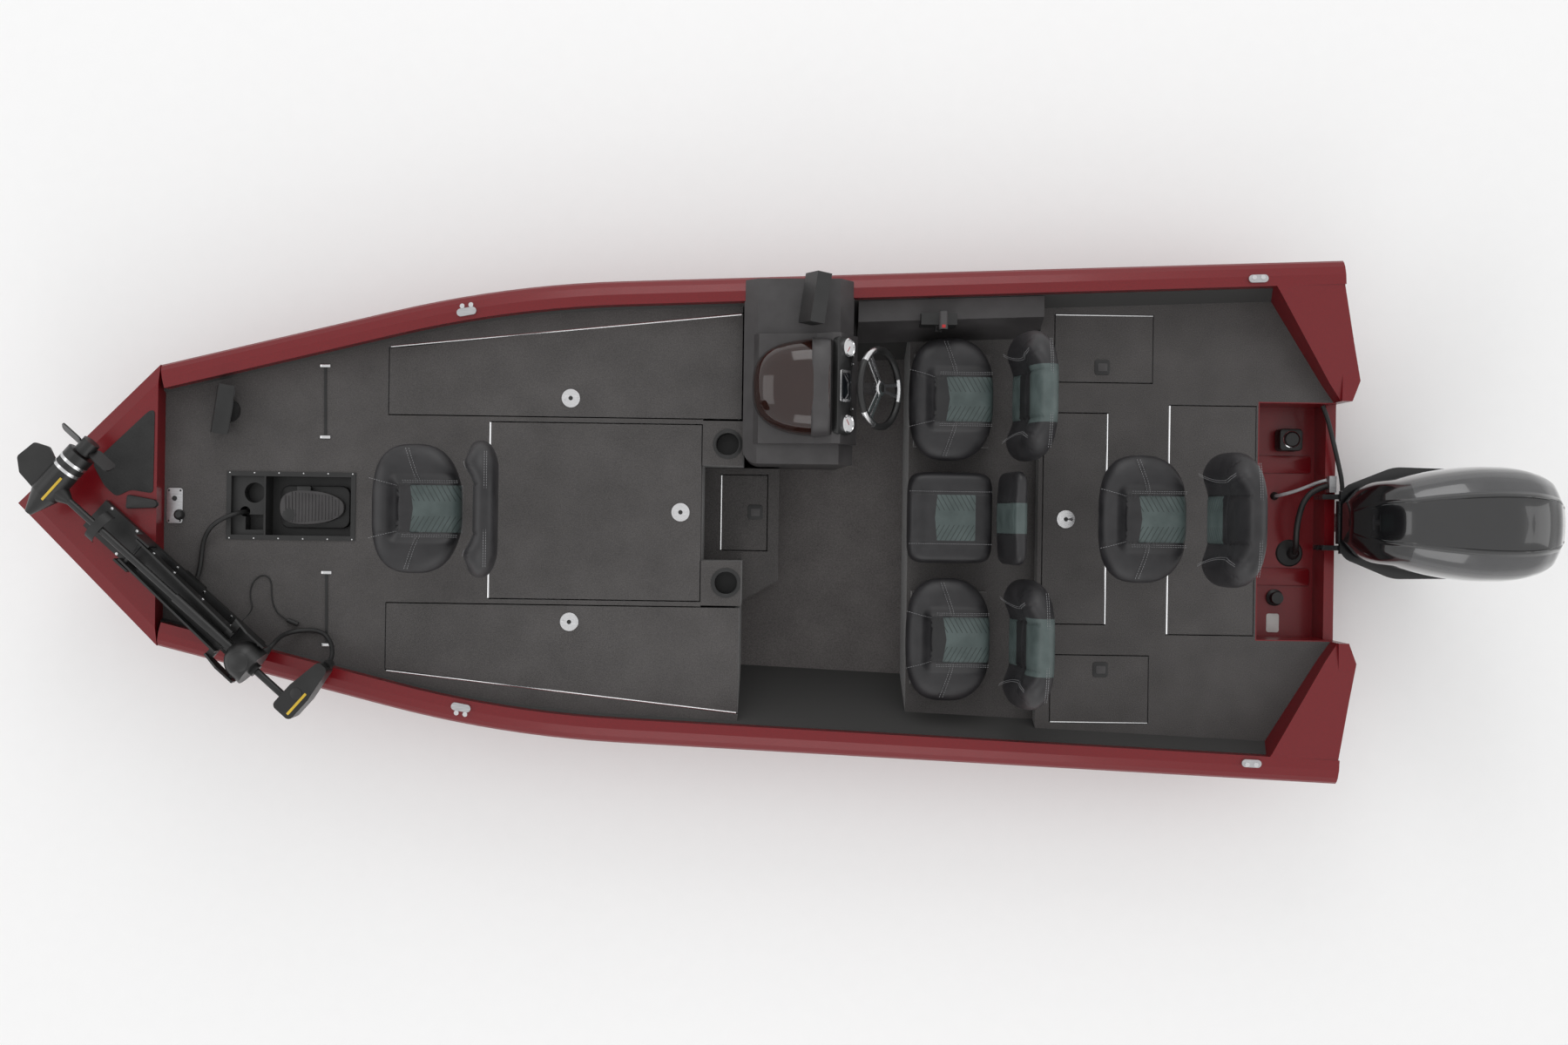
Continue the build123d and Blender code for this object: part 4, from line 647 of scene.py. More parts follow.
def cushionTop(u, v):
    s = seatShape
    # how far outside the middle panel, as the larger of the side and the fore distance
    dx = np.abs(u) - s["panelHalf"]
    dv = s["panelStart"] - v
    d = np.where((dx > 0) & (dv > 0), np.hypot(dx, dv), np.maximum(dx, dv))
    h = s["hollow"] + (s["bolster"] - s["hollow"]) * smooth(d, 0.0, 0.05)
    h = h + groove(d) - 0.010 * smooth(np.abs(u), 0.15, 0.25) - 0.006 * smooth(-v, -0.06, 0.0)
    slope = np.abs(u) - (0.078 + (s["panelStart"] - v) * 0.26)
    h = h + groove(slope, 0.003, 0.004) * smooth(-v, -s["panelStart"], -s["panelStart"] + 0.01)
    arc = v - (0.185 - (np.abs(u) - 0.1) * 0.35)
    return h + groove(arc, 0.003, 0.004) * smooth(np.abs(u), 0.10, 0.115)


def backFront(u, v):
    s = seatShape
    side = smooth(np.abs(u), 0.085, 0.185)
    head = smooth(v, 0.22, 0.33) * (1 - smooth(np.abs(u), 0.14, 0.22))
    w = 0.010 - s["wing"] * side - 0.018 * head
    w = w - groove(np.abs(u) - 0.088, 0.004, 0.006) - groove(v - (0.20 + u * u * 3), 0.004, 0.004)
    arc = np.abs(u) - (0.13 + 0.25 * (v - 0.22) ** 2 * 4)
    return w - groove(arc, 0.003, 0.004)


def backRear(u, v):
    return 0.082 - 0.012 * smooth(np.abs(u), 0.15, 0.25) - 0.008 * smooth(v, 0.3, 0.43)


def leanPlace(x, y, z, lean):
    a = math.radians(lean)

    def place(p):
        u, v, w = p[..., 0], p[..., 1], p[..., 2]
        return np.stack([x + w * math.cos(a) + v * math.sin(a), y + u,
                         z - w * math.sin(a) + v * math.cos(a)], -1)
    return place


def boxOf(node):
    low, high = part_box(node)
    return np.array(low), np.array(high)


def seatSet(label, x, y, z, seatBody, backBody, cushionNode, backNode, padMat, restMat):
    s = seatShape
    half = s["half"] - 0.003
    outline = superOutline(half, s["depth"] / 2 - 0.003, 3.0, 0.16, 168)

    def place(p):
        return np.stack([x + p[..., 1], y + p[..., 0], z + p[..., 2]], -1)
    pad = padSkin(label + "Cushion", outline, (0, s["depth"] / 2), cushionTop,
                  lambda u, v: 0.004 + 0 * u, place, padMat, seatBody)
    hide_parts(cushionNode)
    backOutline = superOutline(s["half"] + 0.003, s["backHeight"] / 2 - 0.003, 3.2, 0.10, 168)
    put = leanPlace(x + s["depth"] + 0.006 + s["wing"], y, z + 0.060, s["lean"])
    rest = padSkin(label + "Back", backOutline, (0, s["backHeight"] / 2), backFront, backRear,
                   put, restMat, backBody)
    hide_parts(backNode)
    # double sewing lines beside the grooves
    paths = []
    v = np.linspace(s["panelStart"] + 0.02, 0.325, 30)
    for side in (-1, 1):
        for off in (0.010, 0.017):
            u = side * (s["panelHalf"] + off) + 0 * v
            paths.append(np.column_stack([u, v, cushionTop(u, v)]))
        q = np.linspace(0.005, s["panelStart"] - 0.006, 16)
        u = side * (0.078 + (s["panelStart"] - q) * 0.26 + 0.007)
        paths.append(np.column_stack([u, q, cushionTop(u, q)]))
        q = np.linspace(0.104, 0.222, 18)
        for off in (-0.006, 0.006):
            w = 0.185 - (q - 0.1) * 0.35 + off
            paths.append(np.column_stack([side * q, w, cushionTop(side * q, w)]))
    stitches(label + "CushionStitch", [place(p[None])[0] for p in paths], thread, seatBody)
    backPaths = []
    v = np.linspace(0.05, 0.37, 40)
    for side in (-1, 1):
        for off in (0.007, 0.014):
            u = side * (0.13 + (v - 0.22) ** 2 + off)
            backPaths.append(np.column_stack([u, v, backFront(u, v) - 0.001]))
    u = np.linspace(-0.20, 0.20, 40)
    for off in (0.0, 0.008):
        backPaths.append(np.column_stack([u, 0.424 + 0 * u - 6.0 * np.abs(u) ** 4 * 2,
                                          0.030 + off + 0 * u]))
    stitches(label + "BackStitch", [put(p[None])[0] for p in backPaths], thread, backBody)
    return pad, rest


for label, node, backNode, body, backBody in (
        ("bowSeat", "bow_seat_cushion", "bow_seat_back", "bow_seat", "bow_seat_backrest"),
        ("aftSeat", "aft_seat_cushion", "aft_seat_back", "aft_seat", "aft_seat_backrest")):
    low, high = boxOf(node)
    seatSet(label, low[0], (low[1] + high[1]) / 2, low[2], body, backBody, node, backNode,
            deckCushionMat, deckBackMat)
benchLow = boxOf("cockpit_cushions")[0]
benchZ = 0.390
for label, y, backNode, body in (("driverSeat", 0.463, "driver_seat_back", "driver_backrest"),
                                 ("passengerSeat", -0.484, "passenger_seat_back",
                                  "passenger_backrest")):
    seatSet(label, benchLow[0], y, benchZ, "hull", body, "cockpit_cushions", backNode,
            cushionMat, backMat)

# the middle seat: a square pad with one band, and a low flat back
centreSeat = {"y": -0.004, "z": 0.380, "half": 0.181, "depth": 0.340}
centrePadMat = panelMaterial("centrePadPanels", [
    {"start": 0.118, "end": 0.268, "half": 0.090, "colours": tealTones, "notch": -0.10, "ribs": 1.0}])
centreBackMat = panelMaterial("centreBackPanels", [
    {"start": -0.05, "end": 0.6, "half": 0.058, "colours": tealTones}])


def centreTop(u, v):
    d = np.maximum(np.abs(u) - 0.095, np.abs(v - 0.195) - 0.115)
    return 0.106 + 0.006 * smooth(d, 0, 0.04) + groove(np.abs(u) - 0.095, 0.003, 0.004)


def centrePlace(p):
    c = centreSeat
    return np.stack([benchLow[0] + p[..., 1], c["y"] + p[..., 0], c["z"] + p[..., 2]], -1)


pad = padSkin("centreSeatCushion", superOutline(centreSeat["half"] - 0.002, 0.168, 7.0, 0.0, 168),
              (0, 0.170), centreTop, lambda u, v: 0.004 + 0 * u, centrePlace, centrePadMat, "hull",
              roll=14.0)
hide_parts("cockpit_cushions")
put = leanPlace(benchLow[0] + 0.346, centreSeat["y"], centreSeat["z"] + 0.060, 6.0)
rest = padSkin("centreSeatBack", superOutline(0.179, 0.163, 7.0, 0.0, 168), (0, 0.165),
               lambda u, v: 0.003 + 0.004 * smooth(np.abs(u), 0.06, 0.10) - groove(np.abs(u) - 0.06,
                                                                             0.003, 0.004),
               lambda u, v: 0.057 + 0 * u, put, centreBackMat, "centre_backrest", roll=14.0)
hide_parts("centre_seat_back")
v = np.linspace(0.01, 0.33, 40)
stitches("centreSeatStitch", [centrePlace(np.column_stack([s * 0.103 + 0 * v, v,
         centreTop(s * 0.103 + 0 * v, v)])[None])[0] for s in (-1, 1)], thread, "hull")
print("seats sewn")

# outboard cowl
cowlShape = {"length": 0.733, "sill": 0.490,
             "widths": [(0, 0.080), (0.05, 0.128), (0.2, 0.168), (0.4, 0.203), (0.6, 0.218),
                        (0.8, 0.204), (0.92, 0.165), (0.98, 0.11), (1.0, 0.055)],
             "tops": [(0, 0.640), (0.04, 0.73), (0.12, 0.83), (0.3, 0.925), (0.5, 0.972),
                      (0.7, 0.980), (0.85, 0.950), (0.94, 0.88), (0.99, 0.77), (1.0, 0.70)]}


def smoothTable(pairs, at):
    # a monotone cubic through the pairs, by Hermite blending of the neighbours' mean slopes
    x, y = np.array(pairs, float).T
    slope = np.gradient(y, x)
    k = np.clip(np.searchsorted(x, at) - 1, 0, len(x) - 2)
    h = x[k + 1] - x[k]
    t = (at - x[k]) / h
    return ((2 * t**3 - 3 * t**2 + 1) * y[k] + (t**3 - 2 * t**2 + t) * h * slope[k]
            + (3 * t**2 - 2 * t**3) * y[k + 1] + (t**3 - t**2) * h * slope[k + 1])


cowlLow = boxOf("engine_cowl")[0]
stations = (1 - np.cos(np.linspace(0, math.pi, 70))) / 2
width = smoothTable(cowlShape["widths"], stations)
top = smoothTable(cowlShape["tops"], stations)
halfProfile = np.array([(0.0, 0.0), (0.80, 0.0), (0.90, 0.03), (0.97, 0.2), (1.0, 0.42), (0.985, 0.60),
                        (0.94, 0.74), (0.86, 0.83), (0.845, 0.836), (0.83, 0.852), (0.70, 0.90),
                        (0.56, 0.945), (0.54, 0.95), (0.525, 0.965), (0.47, 0.985), (0.455, 0.984),
                        (0.44, 0.976), (0.40, 0.982), (0.2, 0.996), (0.0, 1.0)])
loop = np.concatenate([halfProfile, (halfProfile[::-1] * [-1, 1])[1:-1]])
x = cowlLow[0] + 0.001 + stations * cowlShape["length"]
sill = cowlShape["sill"] + 0.02 * (2 * stations - 1) ** 4
rings = np.stack([np.broadcast_to(x[:, None], (70, len(loop))), width[:, None] * loop[:, 0],
                  sill[:, None] + (top - sill)[:, None] * loop[:, 1]], -1)
cowlMat, tree, bsdf = startMaterial("cowlTwoTone", coat=1.0, coatRough=0.04)
g = useGroup(tree, grainGroup, Scale=30.0)
uv = tree.nodes.new("ShaderNodeUVMap")
uv.uv_map = "panel"
sep = tree.nodes.new("ShaderNodeSeparateXYZ")
tree.links.new(uv.outputs["UV"], sep.inputs[0])
band = mathNode(tree, "ABSOLUTE", mathNode(tree, "SUBTRACT", sep.outputs["X"], 0.5))
inBand = mathNode(tree, "MULTIPLY", mathNode(tree, "GREATER_THAN", band, 0.54 * 0.5),
                  mathNode(tree, "LESS_THAN", band, 0.90 * 0.5))
inBand = mathNode(tree, "MULTIPLY", inBand, mathNode(tree, "GREATER_THAN", sep.outputs["Y"], 0.20))
black = mixColour(tree, g.outputs["Cloud"], (0.004, 0.004, 0.0045), (0.008, 0.008, 0.009))
grey = mixColour(tree, g.outputs["Cloud"], (0.035, 0.035, 0.037), (0.060, 0.060, 0.063))
mix = tree.nodes.new("ShaderNodeMix")
mix.data_type = "RGBA"
tree.links.new(inBand, mix.inputs["Factor"])
tree.links.new(black, mix.inputs["A"])
tree.links.new(grey, mix.inputs["B"])
tree.links.new(mix.outputs["Result"], bsdf.inputs["Base Color"])
spreadRough(tree, bsdf, g.outputs["Cloud"], 0.16, 0.26)
cowl = ringStack("engineCowl", rings, cowlMat, "engine", 40)
uvs = np.stack([np.broadcast_to(loop[:, 0] * 0.5 + 0.5, (70, len(loop))),
                np.broadcast_to(stations[:, None], (70, len(loop)))], -1).reshape(-1, 2)
uvs = np.concatenate([uvs, [[0.5, 0], [0.5, 1]]])
uvs[np.concatenate([np.tile(loop[:, 1] < 0.7, 70), [False, False]]), 0] = 0.5
index = np.zeros(len(cowl.data.loops), int)
cowl.data.loops.foreach_get("vertex_index", index)
cowl.data.uv_layers.new(name="panel").data.foreach_set("uv", uvs[index].ravel())
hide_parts("engine_cowl")
print("cowl done")


# small shapes
def boxPiece(name, low, high, edge, mat, body, place=None):
    # a plate with a rounded outline between two corners
    low, high = np.array(low, float), np.array(high, float)
    w, d = high[:2] - low[:2]
    outline = roundedRect(w, d, min(w, d) * 0.18) + (low[:2] + high[:2]) / 2
    return plate(name, outline, low[2], high[2], min(edge, (high[2] - low[2]) * 0.45), mat, body, place)


def openSheet(name, grid, thick, mat, body):
    # an open grid of points given a wall by Solidify
    rows, cols = grid.shape[:2]
    obj = newPiece(name, grid.reshape(-1, 3), gridFaces(rows, cols, False), mat, body, 45)
    wall = obj.modifiers.new("wall", "SOLIDIFY")
    wall.thickness = thick
    wall.offset = 0.0
    return obj


def framePlace(centre, right, up, out):
    centre, right, up, out = (np.array(v, float) for v in (centre, right, up, out))

    def place(p):
        return centre + p[..., 0:1] * right + p[..., 1:2] * up + p[..., 2:3] * out
    return place


# hinges, latches and pulls on the decks
deckZ, aftZ, stepZ = 0.480, 0.400, 0.240
lidBoxes = {n: boxOf(n) for n in ("centre_storage_lid", "step_cooler_lid", "aft_lid_starboard",
                                  "aft_lid_port", "livewell_lid", "battery_lid")}
hingeLines = [((-1.172, 0.637, deckZ), (0.203, 0.783, deckZ)), ((-1.172, -0.637, deckZ), (0.203, -0.783,
                                                            deckZ))]
for lid, edge in (("centre_storage_lid", 0), ("step_cooler_lid", 0), ("livewell_lid", 1),
                  ("battery_lid", 0)):
    low, high = lidBoxes[lid]
    at = (low[0] - 0.0025) if edge == 0 else (high[0] + 0.0025)
    hingeLines.append(((at, low[1], high[2]), (at, high[1], high[2])))
for lid, edge in (("aft_lid_starboard", 1), ("aft_lid_port", 0)):
    low, high = lidBoxes[lid]
    at = high[1] + 0.0025 if edge else low[1] - 0.0025
    hingeLines.append(((low[0], at, high[2]), (high[0], at, high[2])))
for k, (a, b) in enumerate(hingeLines):
    leaf = resample([a, b], 0.05)
    knuckle = [(-0.0035, -0.001), (0.0035, -0.001), (0.0030, 0.0008), (0.0, 0.0022), (-0.0030, 0.0008)]
    ringStack("pianoHinge%d" % k, along(leaf, knuckle), chrome, "hull")

latch = {"radius": 0.036, "places": [
    ("rod_locker_lid_starboard", -0.463, 0.444, deckZ), ("centre_storage_lid", -0.026, 0.002, deckZ),
    ("rod_locker_lid_port", -0.457, -0.435, deckZ), ("livewell_lid", 1.501, -0.003, aftZ)]}
for k, (body, x, y, z) in enumerate(latch["places"]):
    r = latch["radius"]
    lathe("latchCup%d" % k, [(0, 0.0), (r, 0.0), (r, 0.0016), (r * 0.92, 0.0026), (r * 0.80, 0.0026),
                             (r * 0.74, 0.0008), (0, 0.0008)], (x, y, z), (0, 0, 1), blackShell, body)
    lathe("latchRing%d" % k, [(r * 0.985, 0.001), (r * 1.02, 0.0018), (r * 0.985, 0.0030),
                              (r * 0.90, 0.0030)], (x, y, z), (0, 0, 1), chrome, body)
    a = np.linspace(0, 2 * math.pi, 40, endpoint=False)
    bow = np.stack([0.80 * r * np.cos(a), (0.22 + 0.30 * np.abs(np.cos(a)) ** 3) * r * np.sin(a)], -1)
    plate("latchHandle%d" % k, bow + [x, y], z + 0.0010, z + 0.0052, 0.0012, chrome, body)
    lathe("latchKey%d" % k, [(0, 0.005), (r * 0.24, 0.005), (r * 0.24, 0.0068), (0, 0.0068)], (x, y, z),
          (0, 0, 1), blackShell, body)
pulls = [("aft_lid_starboard", 1.637, 0.603, aftZ), ("aft_lid_port", 1.647, -0.599, aftZ),
         ("step_cooler_lid", 0.263, 0.008, stepZ)]
for k, (body, x, y, z) in enumerate(pulls):
    boxPiece("pullFrame%d" % k, (x - 0.030, y - 0.030, z), (x + 0.030, y + 0.030, z + 0.0025), 0.001,
             blackShell, body)
    boxPiece("pullFinger%d" % k, (x - 0.018, y - 0.016, z + 0.0024), (x + 0.020, y + 0.016, z + 0.0048),
             0.001, greyShell, body)

# cup holders, pedal, tread pads and plug
cups = {"x": 0.156, "y": 0.2725, "radius": 0.0455, "depth": 0.0945}
for label, side in (("Starboard", 1), ("Port", -1)):
    r, d = cups["radius"], cups["depth"]
    lathe("cupLiner" + label, [(0, -d), (r, -d), (r, -0.0005), (r + 0.013, 0.0003), (r + 0.013, 0.002),
          (r + 0.002, 0.0046), (r - 0.0016, 0.002), (r - 0.0016, -d + 0.004), (0, -d + 0.004)],
          (cups["x"], side * cups["y"], deckZ), (0, 0, 1), blackShell, "hull", cols=56)
trayLow, trayHigh = boxOf("pedal_tray")
pedal = {"fore": -1.612, "aft": -1.352, "y": 0.000, "top": 0.458}
a = np.linspace(0, 2 * math.pi, 96, endpoint=False)
wide = 0.076 - 0.026 * (np.cos(a) * 0.5 + 0.5) ** 1.5
pear = np.stack([0.1275 * np.sign(np.cos(a)) * np.abs(np.cos(a)) ** 0.8,
                 wide * np.sign(np.sin(a)) * np.abs(np.sin(a)) ** 0.75], -1)
middle = np.array([(pedal["fore"] + pedal["aft"]) / 2, pedal["y"]])
pedalPlate = plate("pedalPlate", pear + middle, 0.424, pedal["top"] - 0.004, 0.006, greyShell, "hull")
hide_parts("foot_pedal")
plate("pedalBase", roundedRect(0.275, 0.168, 0.035) + middle + [0.004, 0.002], 0.392, 0.420,
                  0.005, blackShell, "hull")
for k, x in enumerate(np.linspace(-0.105, 0.105, 17)):
    reach = 0.062 - 0.022 * ((x + 0.12) / 0.24) ** 1.5
    if abs(x) > 0.09:
        reach *= 0.75
    boxPiece("pedalRib%d" % k, (middle[0] + x - 0.0022, middle[1] - reach, 0.4535),
             (middle[0] + x + 0.0022, middle[1] + reach, 0.4575), 0.001, greyShell, "hull")
lathe("pedalDial", [(0, 0), (0.026, 0), (0.026, 0.002), (0.020, 0.004), (0, 0.004)],
      (middle[0] - 0.088, middle[1] - 0.030, 0.4545), (0, 0, 1), blackShell, "hull")
boxPiece("pedalSwitches", (middle[0] - 0.060, middle[1] + 0.064, 0.430),
         (middle[0] - 0.005, middle[1] + 0.084, 0.452), 0.003, blackShell, "hull")
for k, x in enumerate(np.linspace(trayLow[0] + 0.012, trayHigh[0] - 0.012, 6)):
    for j, y in enumerate((trayLow[1] + 0.005, trayHigh[1] - 0.005)):
        lathe("trayScrew%d_%d" % (k, j), [(0, 0), (0.0035, 0), (0.0026, 0.0012), (0, 0.0014)],
              (x, y, 0.484), (0, 0, 1), chrome, "hull", cols=12)

treadOutline = np.array([(-2.066, 0.045), (-2.064, 0.367), (-2.086, 0.366), (-2.303, 0.157),
                         (-2.254, 0.070), (-2.208, 0.030), (-2.154, 0.058)])


def softCorners(outline, radius, count=6):
    # each corner swapped for a quadratic arc between points radius away along its edges
    nxt = np.roll(outline, -1, 0) - outline
    prv = np.roll(outline, 1, 0) - outline
    nl = np.linalg.norm(nxt, axis=1)[:, None]
    pl = np.linalg.norm(prv, axis=1)[:, None]
    b = outline + nxt / nl * np.minimum(radius, nl * 0.4)
    a_ = outline + prv / pl * np.minimum(radius, pl * 0.4)
    t = np.linspace(0, 1, count)[None, :, None]
    arcs = (1 - t) ** 2 * a_[:, None] + 2 * t * (1 - t) * outline[:, None] + t ** 2 * b[:, None]
    return arcs.reshape(-1, 2)


plate("treadPadBow", softCorners(treadOutline, 0.018), 0.5602, 0.5632, 0.0012, treadPad, "hull")
boxPiece("plugPlate", (-2.043, -0.070, deckZ), (-1.980, 0.069, deckZ + 0.004), 0.0015, alloy, "hull")
lathe("plugSocket", [(0, 0), (0.020, 0), (0.021, 0.006), (0.017, 0.016), (0.012, 0.022), (0, 0.023)],
      (-1.992, -0.036, deckZ + 0.003), (0.1, 0, 1), blackShell, "hull")
lathe("plugCap", [(0, 0), (0.010, 0), (0.009, 0.004), (0, 0.004)], (-2.012, 0.028, deckZ + 0.004),
      (0, 0, 1), blackShell, "hull")
for k, (x, y) in enumerate([(-2.034, -0.060), (-1.989, -0.060), (-2.034, 0.059), (-1.989, 0.059)]):
    lathe("plugScrew%d" % k, [(0, 0), (0.004, 0), (0.003, 0.0014), (0, 0.0016)], (x, y, deckZ + 0.004),
          (0, 0, 1), blackShell, "hull", cols=12)
plate("bowFitting", softCorners(np.array([(-2.165, -0.016), (-2.050, -0.011), (-2.040, 0.004),
                                          (-2.050, 0.020),
                                          (-2.160, 0.040)]), 0.012), 0.5602, 0.586, 0.006, blackShell,
                                          "hull")

# elastic rod straps
for k, (x0, y0, x1, y1) in enumerate([(-1.428, 0.557, -1.424, 0.277), (-1.412, -0.255, -1.408, -0.539)]):
    run = resample([(x0, y0, deckZ + 0.0022), (x1, y1, deckZ + 0.0022)], 0.02)
    band = [(-0.0045, -0.0015), (0.0045, -0.0015), (0.0052, 0), (0.0045, 0.0015), (-0.0045, 0.0015),
            (-0.0052, 0)]
    ringStack("rodStrap%d" % k, along(run, band), rubber, "hull")
    for j, (x, y) in enumerate(((x0, y0), (x1, y1))):
        boxPiece("rodStrapClip%d_%d" % (k, j), (x - 0.020, y - 0.006, deckZ),
                 (x + 0.020, y + 0.006, deckZ + 0.005), 0.0015, chrome, "hull")

# helm
helm = {"x": 0.545, "y": 0.483, "sill": 0.674, "crown": 0.124, "length": 0.290, "half": 0.184,
        "power": 0.72, "gaugeY": (0.635, 0.345), "gaugeRadius": 0.0275,
        "switches": (-0.150, -0.118, -0.086, 0.086, 0.118, 0.150)}
# the dome: the plan is a half superellipse, x = L cos^p a, y = B sin^p a, its height a cap of t

t = np.linspace(0, 1, 34)[:, None]
a = np.linspace(-math.pi / 2, math.pi / 2, 60)[None]
gridX = helm["x"] - helm["length"] * np.abs(np.cos(a)) ** helm["power"] * t ** 0.9
gridY = helm["y"] + helm["half"] * np.sign(np.sin(a)) * np.abs(np.sin(a)) ** helm["power"] * t ** 0.9
gridZ = helm["sill"] + helm["crown"] * np.sqrt(np.clip(1 - t ** 2.6, 0, 1)) + 0 * a
screen = openSheet("windscreenDome", np.stack([gridX, gridY, gridZ], -1), 0.004, tinted, "hull")
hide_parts("windscreen")
b = np.linspace(-math.pi / 2, math.pi / 2, 60)[None]
s = np.linspace(0, 1, 8)[:, None]
hoodX = 0.478 + 0.070 * s + 0 * b
hoodY = helm["y"] + (0.186 - 0.004 * s) * np.sign(np.sin(b)) * np.abs(np.sin(b)) ** helm["power"]
hoodZ = 0.676 + (0.118 + 0.008 * np.sin(s * math.pi)) * np.abs(np.cos(b)) ** helm["power"]
openSheet("dashHood", np.stack([hoodX, hoodY, hoodZ], -1), 0.006, greyShell, "hull")
gaugeOut = np.array([0.80, 0.0, 0.60])
gaugeUp = np.array([-0.60, 0.0, 0.80])
faceMat = grainMaterial("gaugeFace", (0.70, 0.70, 0.71), (0.78, 0.78, 0.79), (0.3, 0.4), 200.0, 0.02)
for k, y in enumerate(helm["gaugeY"]):
    c = np.array([0.617, y, 0.694])
    lathe("gaugeBezel%d" % k, [(0, -0.03), (0.035, -0.03), (0.036, 0.004), (0.031, 0.008),
                               (0.028, 0.003), (0, 0.003)],
          c, gaugeOut, chrome, "hull")
    lathe("gaugeFace%d" % k, [(0, 0.0032), (helm["gaugeRadius"], 0.0032), (helm["gaugeRadius"], 0.0042),
                              (0, 0.0042)], c, gaugeOut, faceMat, "hull")
    turn = math.radians(40 if k else 140)
    right = np.array([0, 1.0, 0]) * math.cos(turn) + gaugeUp * math.sin(turn)
    over = np.cross(gaugeOut, right)
    boxPiece("gaugeNeedle%d" % k, (-0.004, -0.0012, 0.0045), (0.021, 0.0012, 0.0060), 0.0004, redPlastic,
             "hull", framePlace(c, right, over, gaugeOut))
panelPlace = framePlace((0.606, 0.489, 0.700), (0, 1, 0), gaugeUp, gaugeOut)
boxPiece("dashScreenTrim", (-0.062, -0.036, -0.02), (0.062, 0.036, 0.004), 0.003, chrome, "hull", panelPlace)
boxPiece("dashScreen", (-0.050, -0.027, 0.0035), (0.050, 0.027, 0.0065), 0.001, screenGlass, "hull",
         panelPlace)
boxPiece("dashPanel", (-0.185, -0.050, -0.03), (0.185, 0.050, 0.0), 0.006, blackShell, "hull", panelPlace)
for k, y in enumerate(helm["switches"]):
    boxPiece("dashSwitch%d" % k, (y - 0.008, -0.046, 0.0), (y + 0.008, -0.030, 0.006), 0.002, blackShell,
             "hull", panelPlace)
    boxPiece("dashSwitchCap%d" % k, (y - 0.003, -0.041, 0.005), (y + 0.003, -0.035, 0.012), 0.001,
             chrome, "hull", panelPlace)

wheel = {"radius": 0.148, "grip": 0.0138, "centre": (0.741, 0.488, 0.620), "lean": math.radians(33),
         "trims": (35, 145), "spokes": (270, 35, 145)}
wheelOut = np.array([math.cos(wheel["lean"]), 0, math.sin(wheel["lean"])])
wheelUp = np.array([-math.sin(wheel["lean"]), 0, math.cos(wheel["lean"])])
wheelPlace = framePlace(wheel["centre"], (0, 1, 0), wheelUp, wheelOut)


def wheelArc(name, start, end, grip, mat):
    # part of the rim: a circle carried round the wheel's own circle
    q = np.radians(np.linspace(start, end, max(6, int(abs(end - start) / 4))))
    c = circle(grip, 16)
    r = wheel["radius"] + c[None, :, 0] + 0 * q[:, None]
    rings = np.stack([r * np.cos(q)[:, None], r * np.sin(q)[:, None], c[None, :, 1] + 0 * r], -1)
    return ringStack(name, wheelPlace(rings), mat, "wheel")


rim = wheelArc("wheelRim", -72, 252, wheel["grip"], blackShell)
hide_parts("steering_wheel")
wheelArc("wheelRimLow", 251, 289, wheel["grip"] * 0.96, chrome)
for k, mid in enumerate(wheel["trims"]):
    wheelArc("wheelRimTrim%d" % k, mid - 16, mid + 16, wheel["grip"] * 1.03, chrome)
for k, turn in enumerate(wheel["spokes"]):
    q = math.radians(turn)
    out, across = np.array([math.cos(q), math.sin(q)]), np.array([-math.sin(q), math.cos(q)])
    for side in (-1, 1):
        a0 = out * 0.026 + across * side * 0.010
        a1 = out * 0.140 + across * side * (0.024 if turn == 270 else 0.012)
        path = np.array([[*a0, 0.004], [*((a0 + a1) / 2), 0.001], [*a1, 0.0]])
        flat = [(-0.0065, -0.003), (0.0065, -0.003), (0.0075, 0.0), (0.0065, 0.004), (-0.0065, 0.004),
                (-0.0075, 0.0)]
        ringStack("wheelSpoke%d_%d" % (k, side + 1), wheelPlace(along(resample(path, 0.02), flat)),
                  chrome, "wheel")
lathe("wheelHub", [(0, -0.017), (0.030, -0.017), (0.034, -0.010), (0.034, 0.006), (0.028, 0.012),
                   (0.016, 0.013),
                   (0.015, 0.010), (0, 0.010)], wheel["centre"], wheelOut, chrome, "wheel")
lathe("wheelBadge", [(0, 0.0102), (0.0145, 0.0102), (0.013, 0.0135), (0, 0.0145)], wheel["centre"], wheelOut,
      blackShell, "wheel")
thLow, thHigh = boxOf("throttle")
tube("throttleGrip", [(0.983, thLow[1], thHigh[2] - 0.016), (0.983, thLow[1] + 0.035, thHigh[2] - 0.016),
                      (0.983, thHigh[1] - 0.002, thHigh[2] - 0.016)], 0.0175, greyShell, "hull", cols=18)
boxPiece("throttleButton", (0.976, thLow[1] + 0.004, thHigh[2] - 0.001),
         (0.990, thLow[1] + 0.016, thHigh[2] + 0.003),
         0.001, redPlastic, "hull")


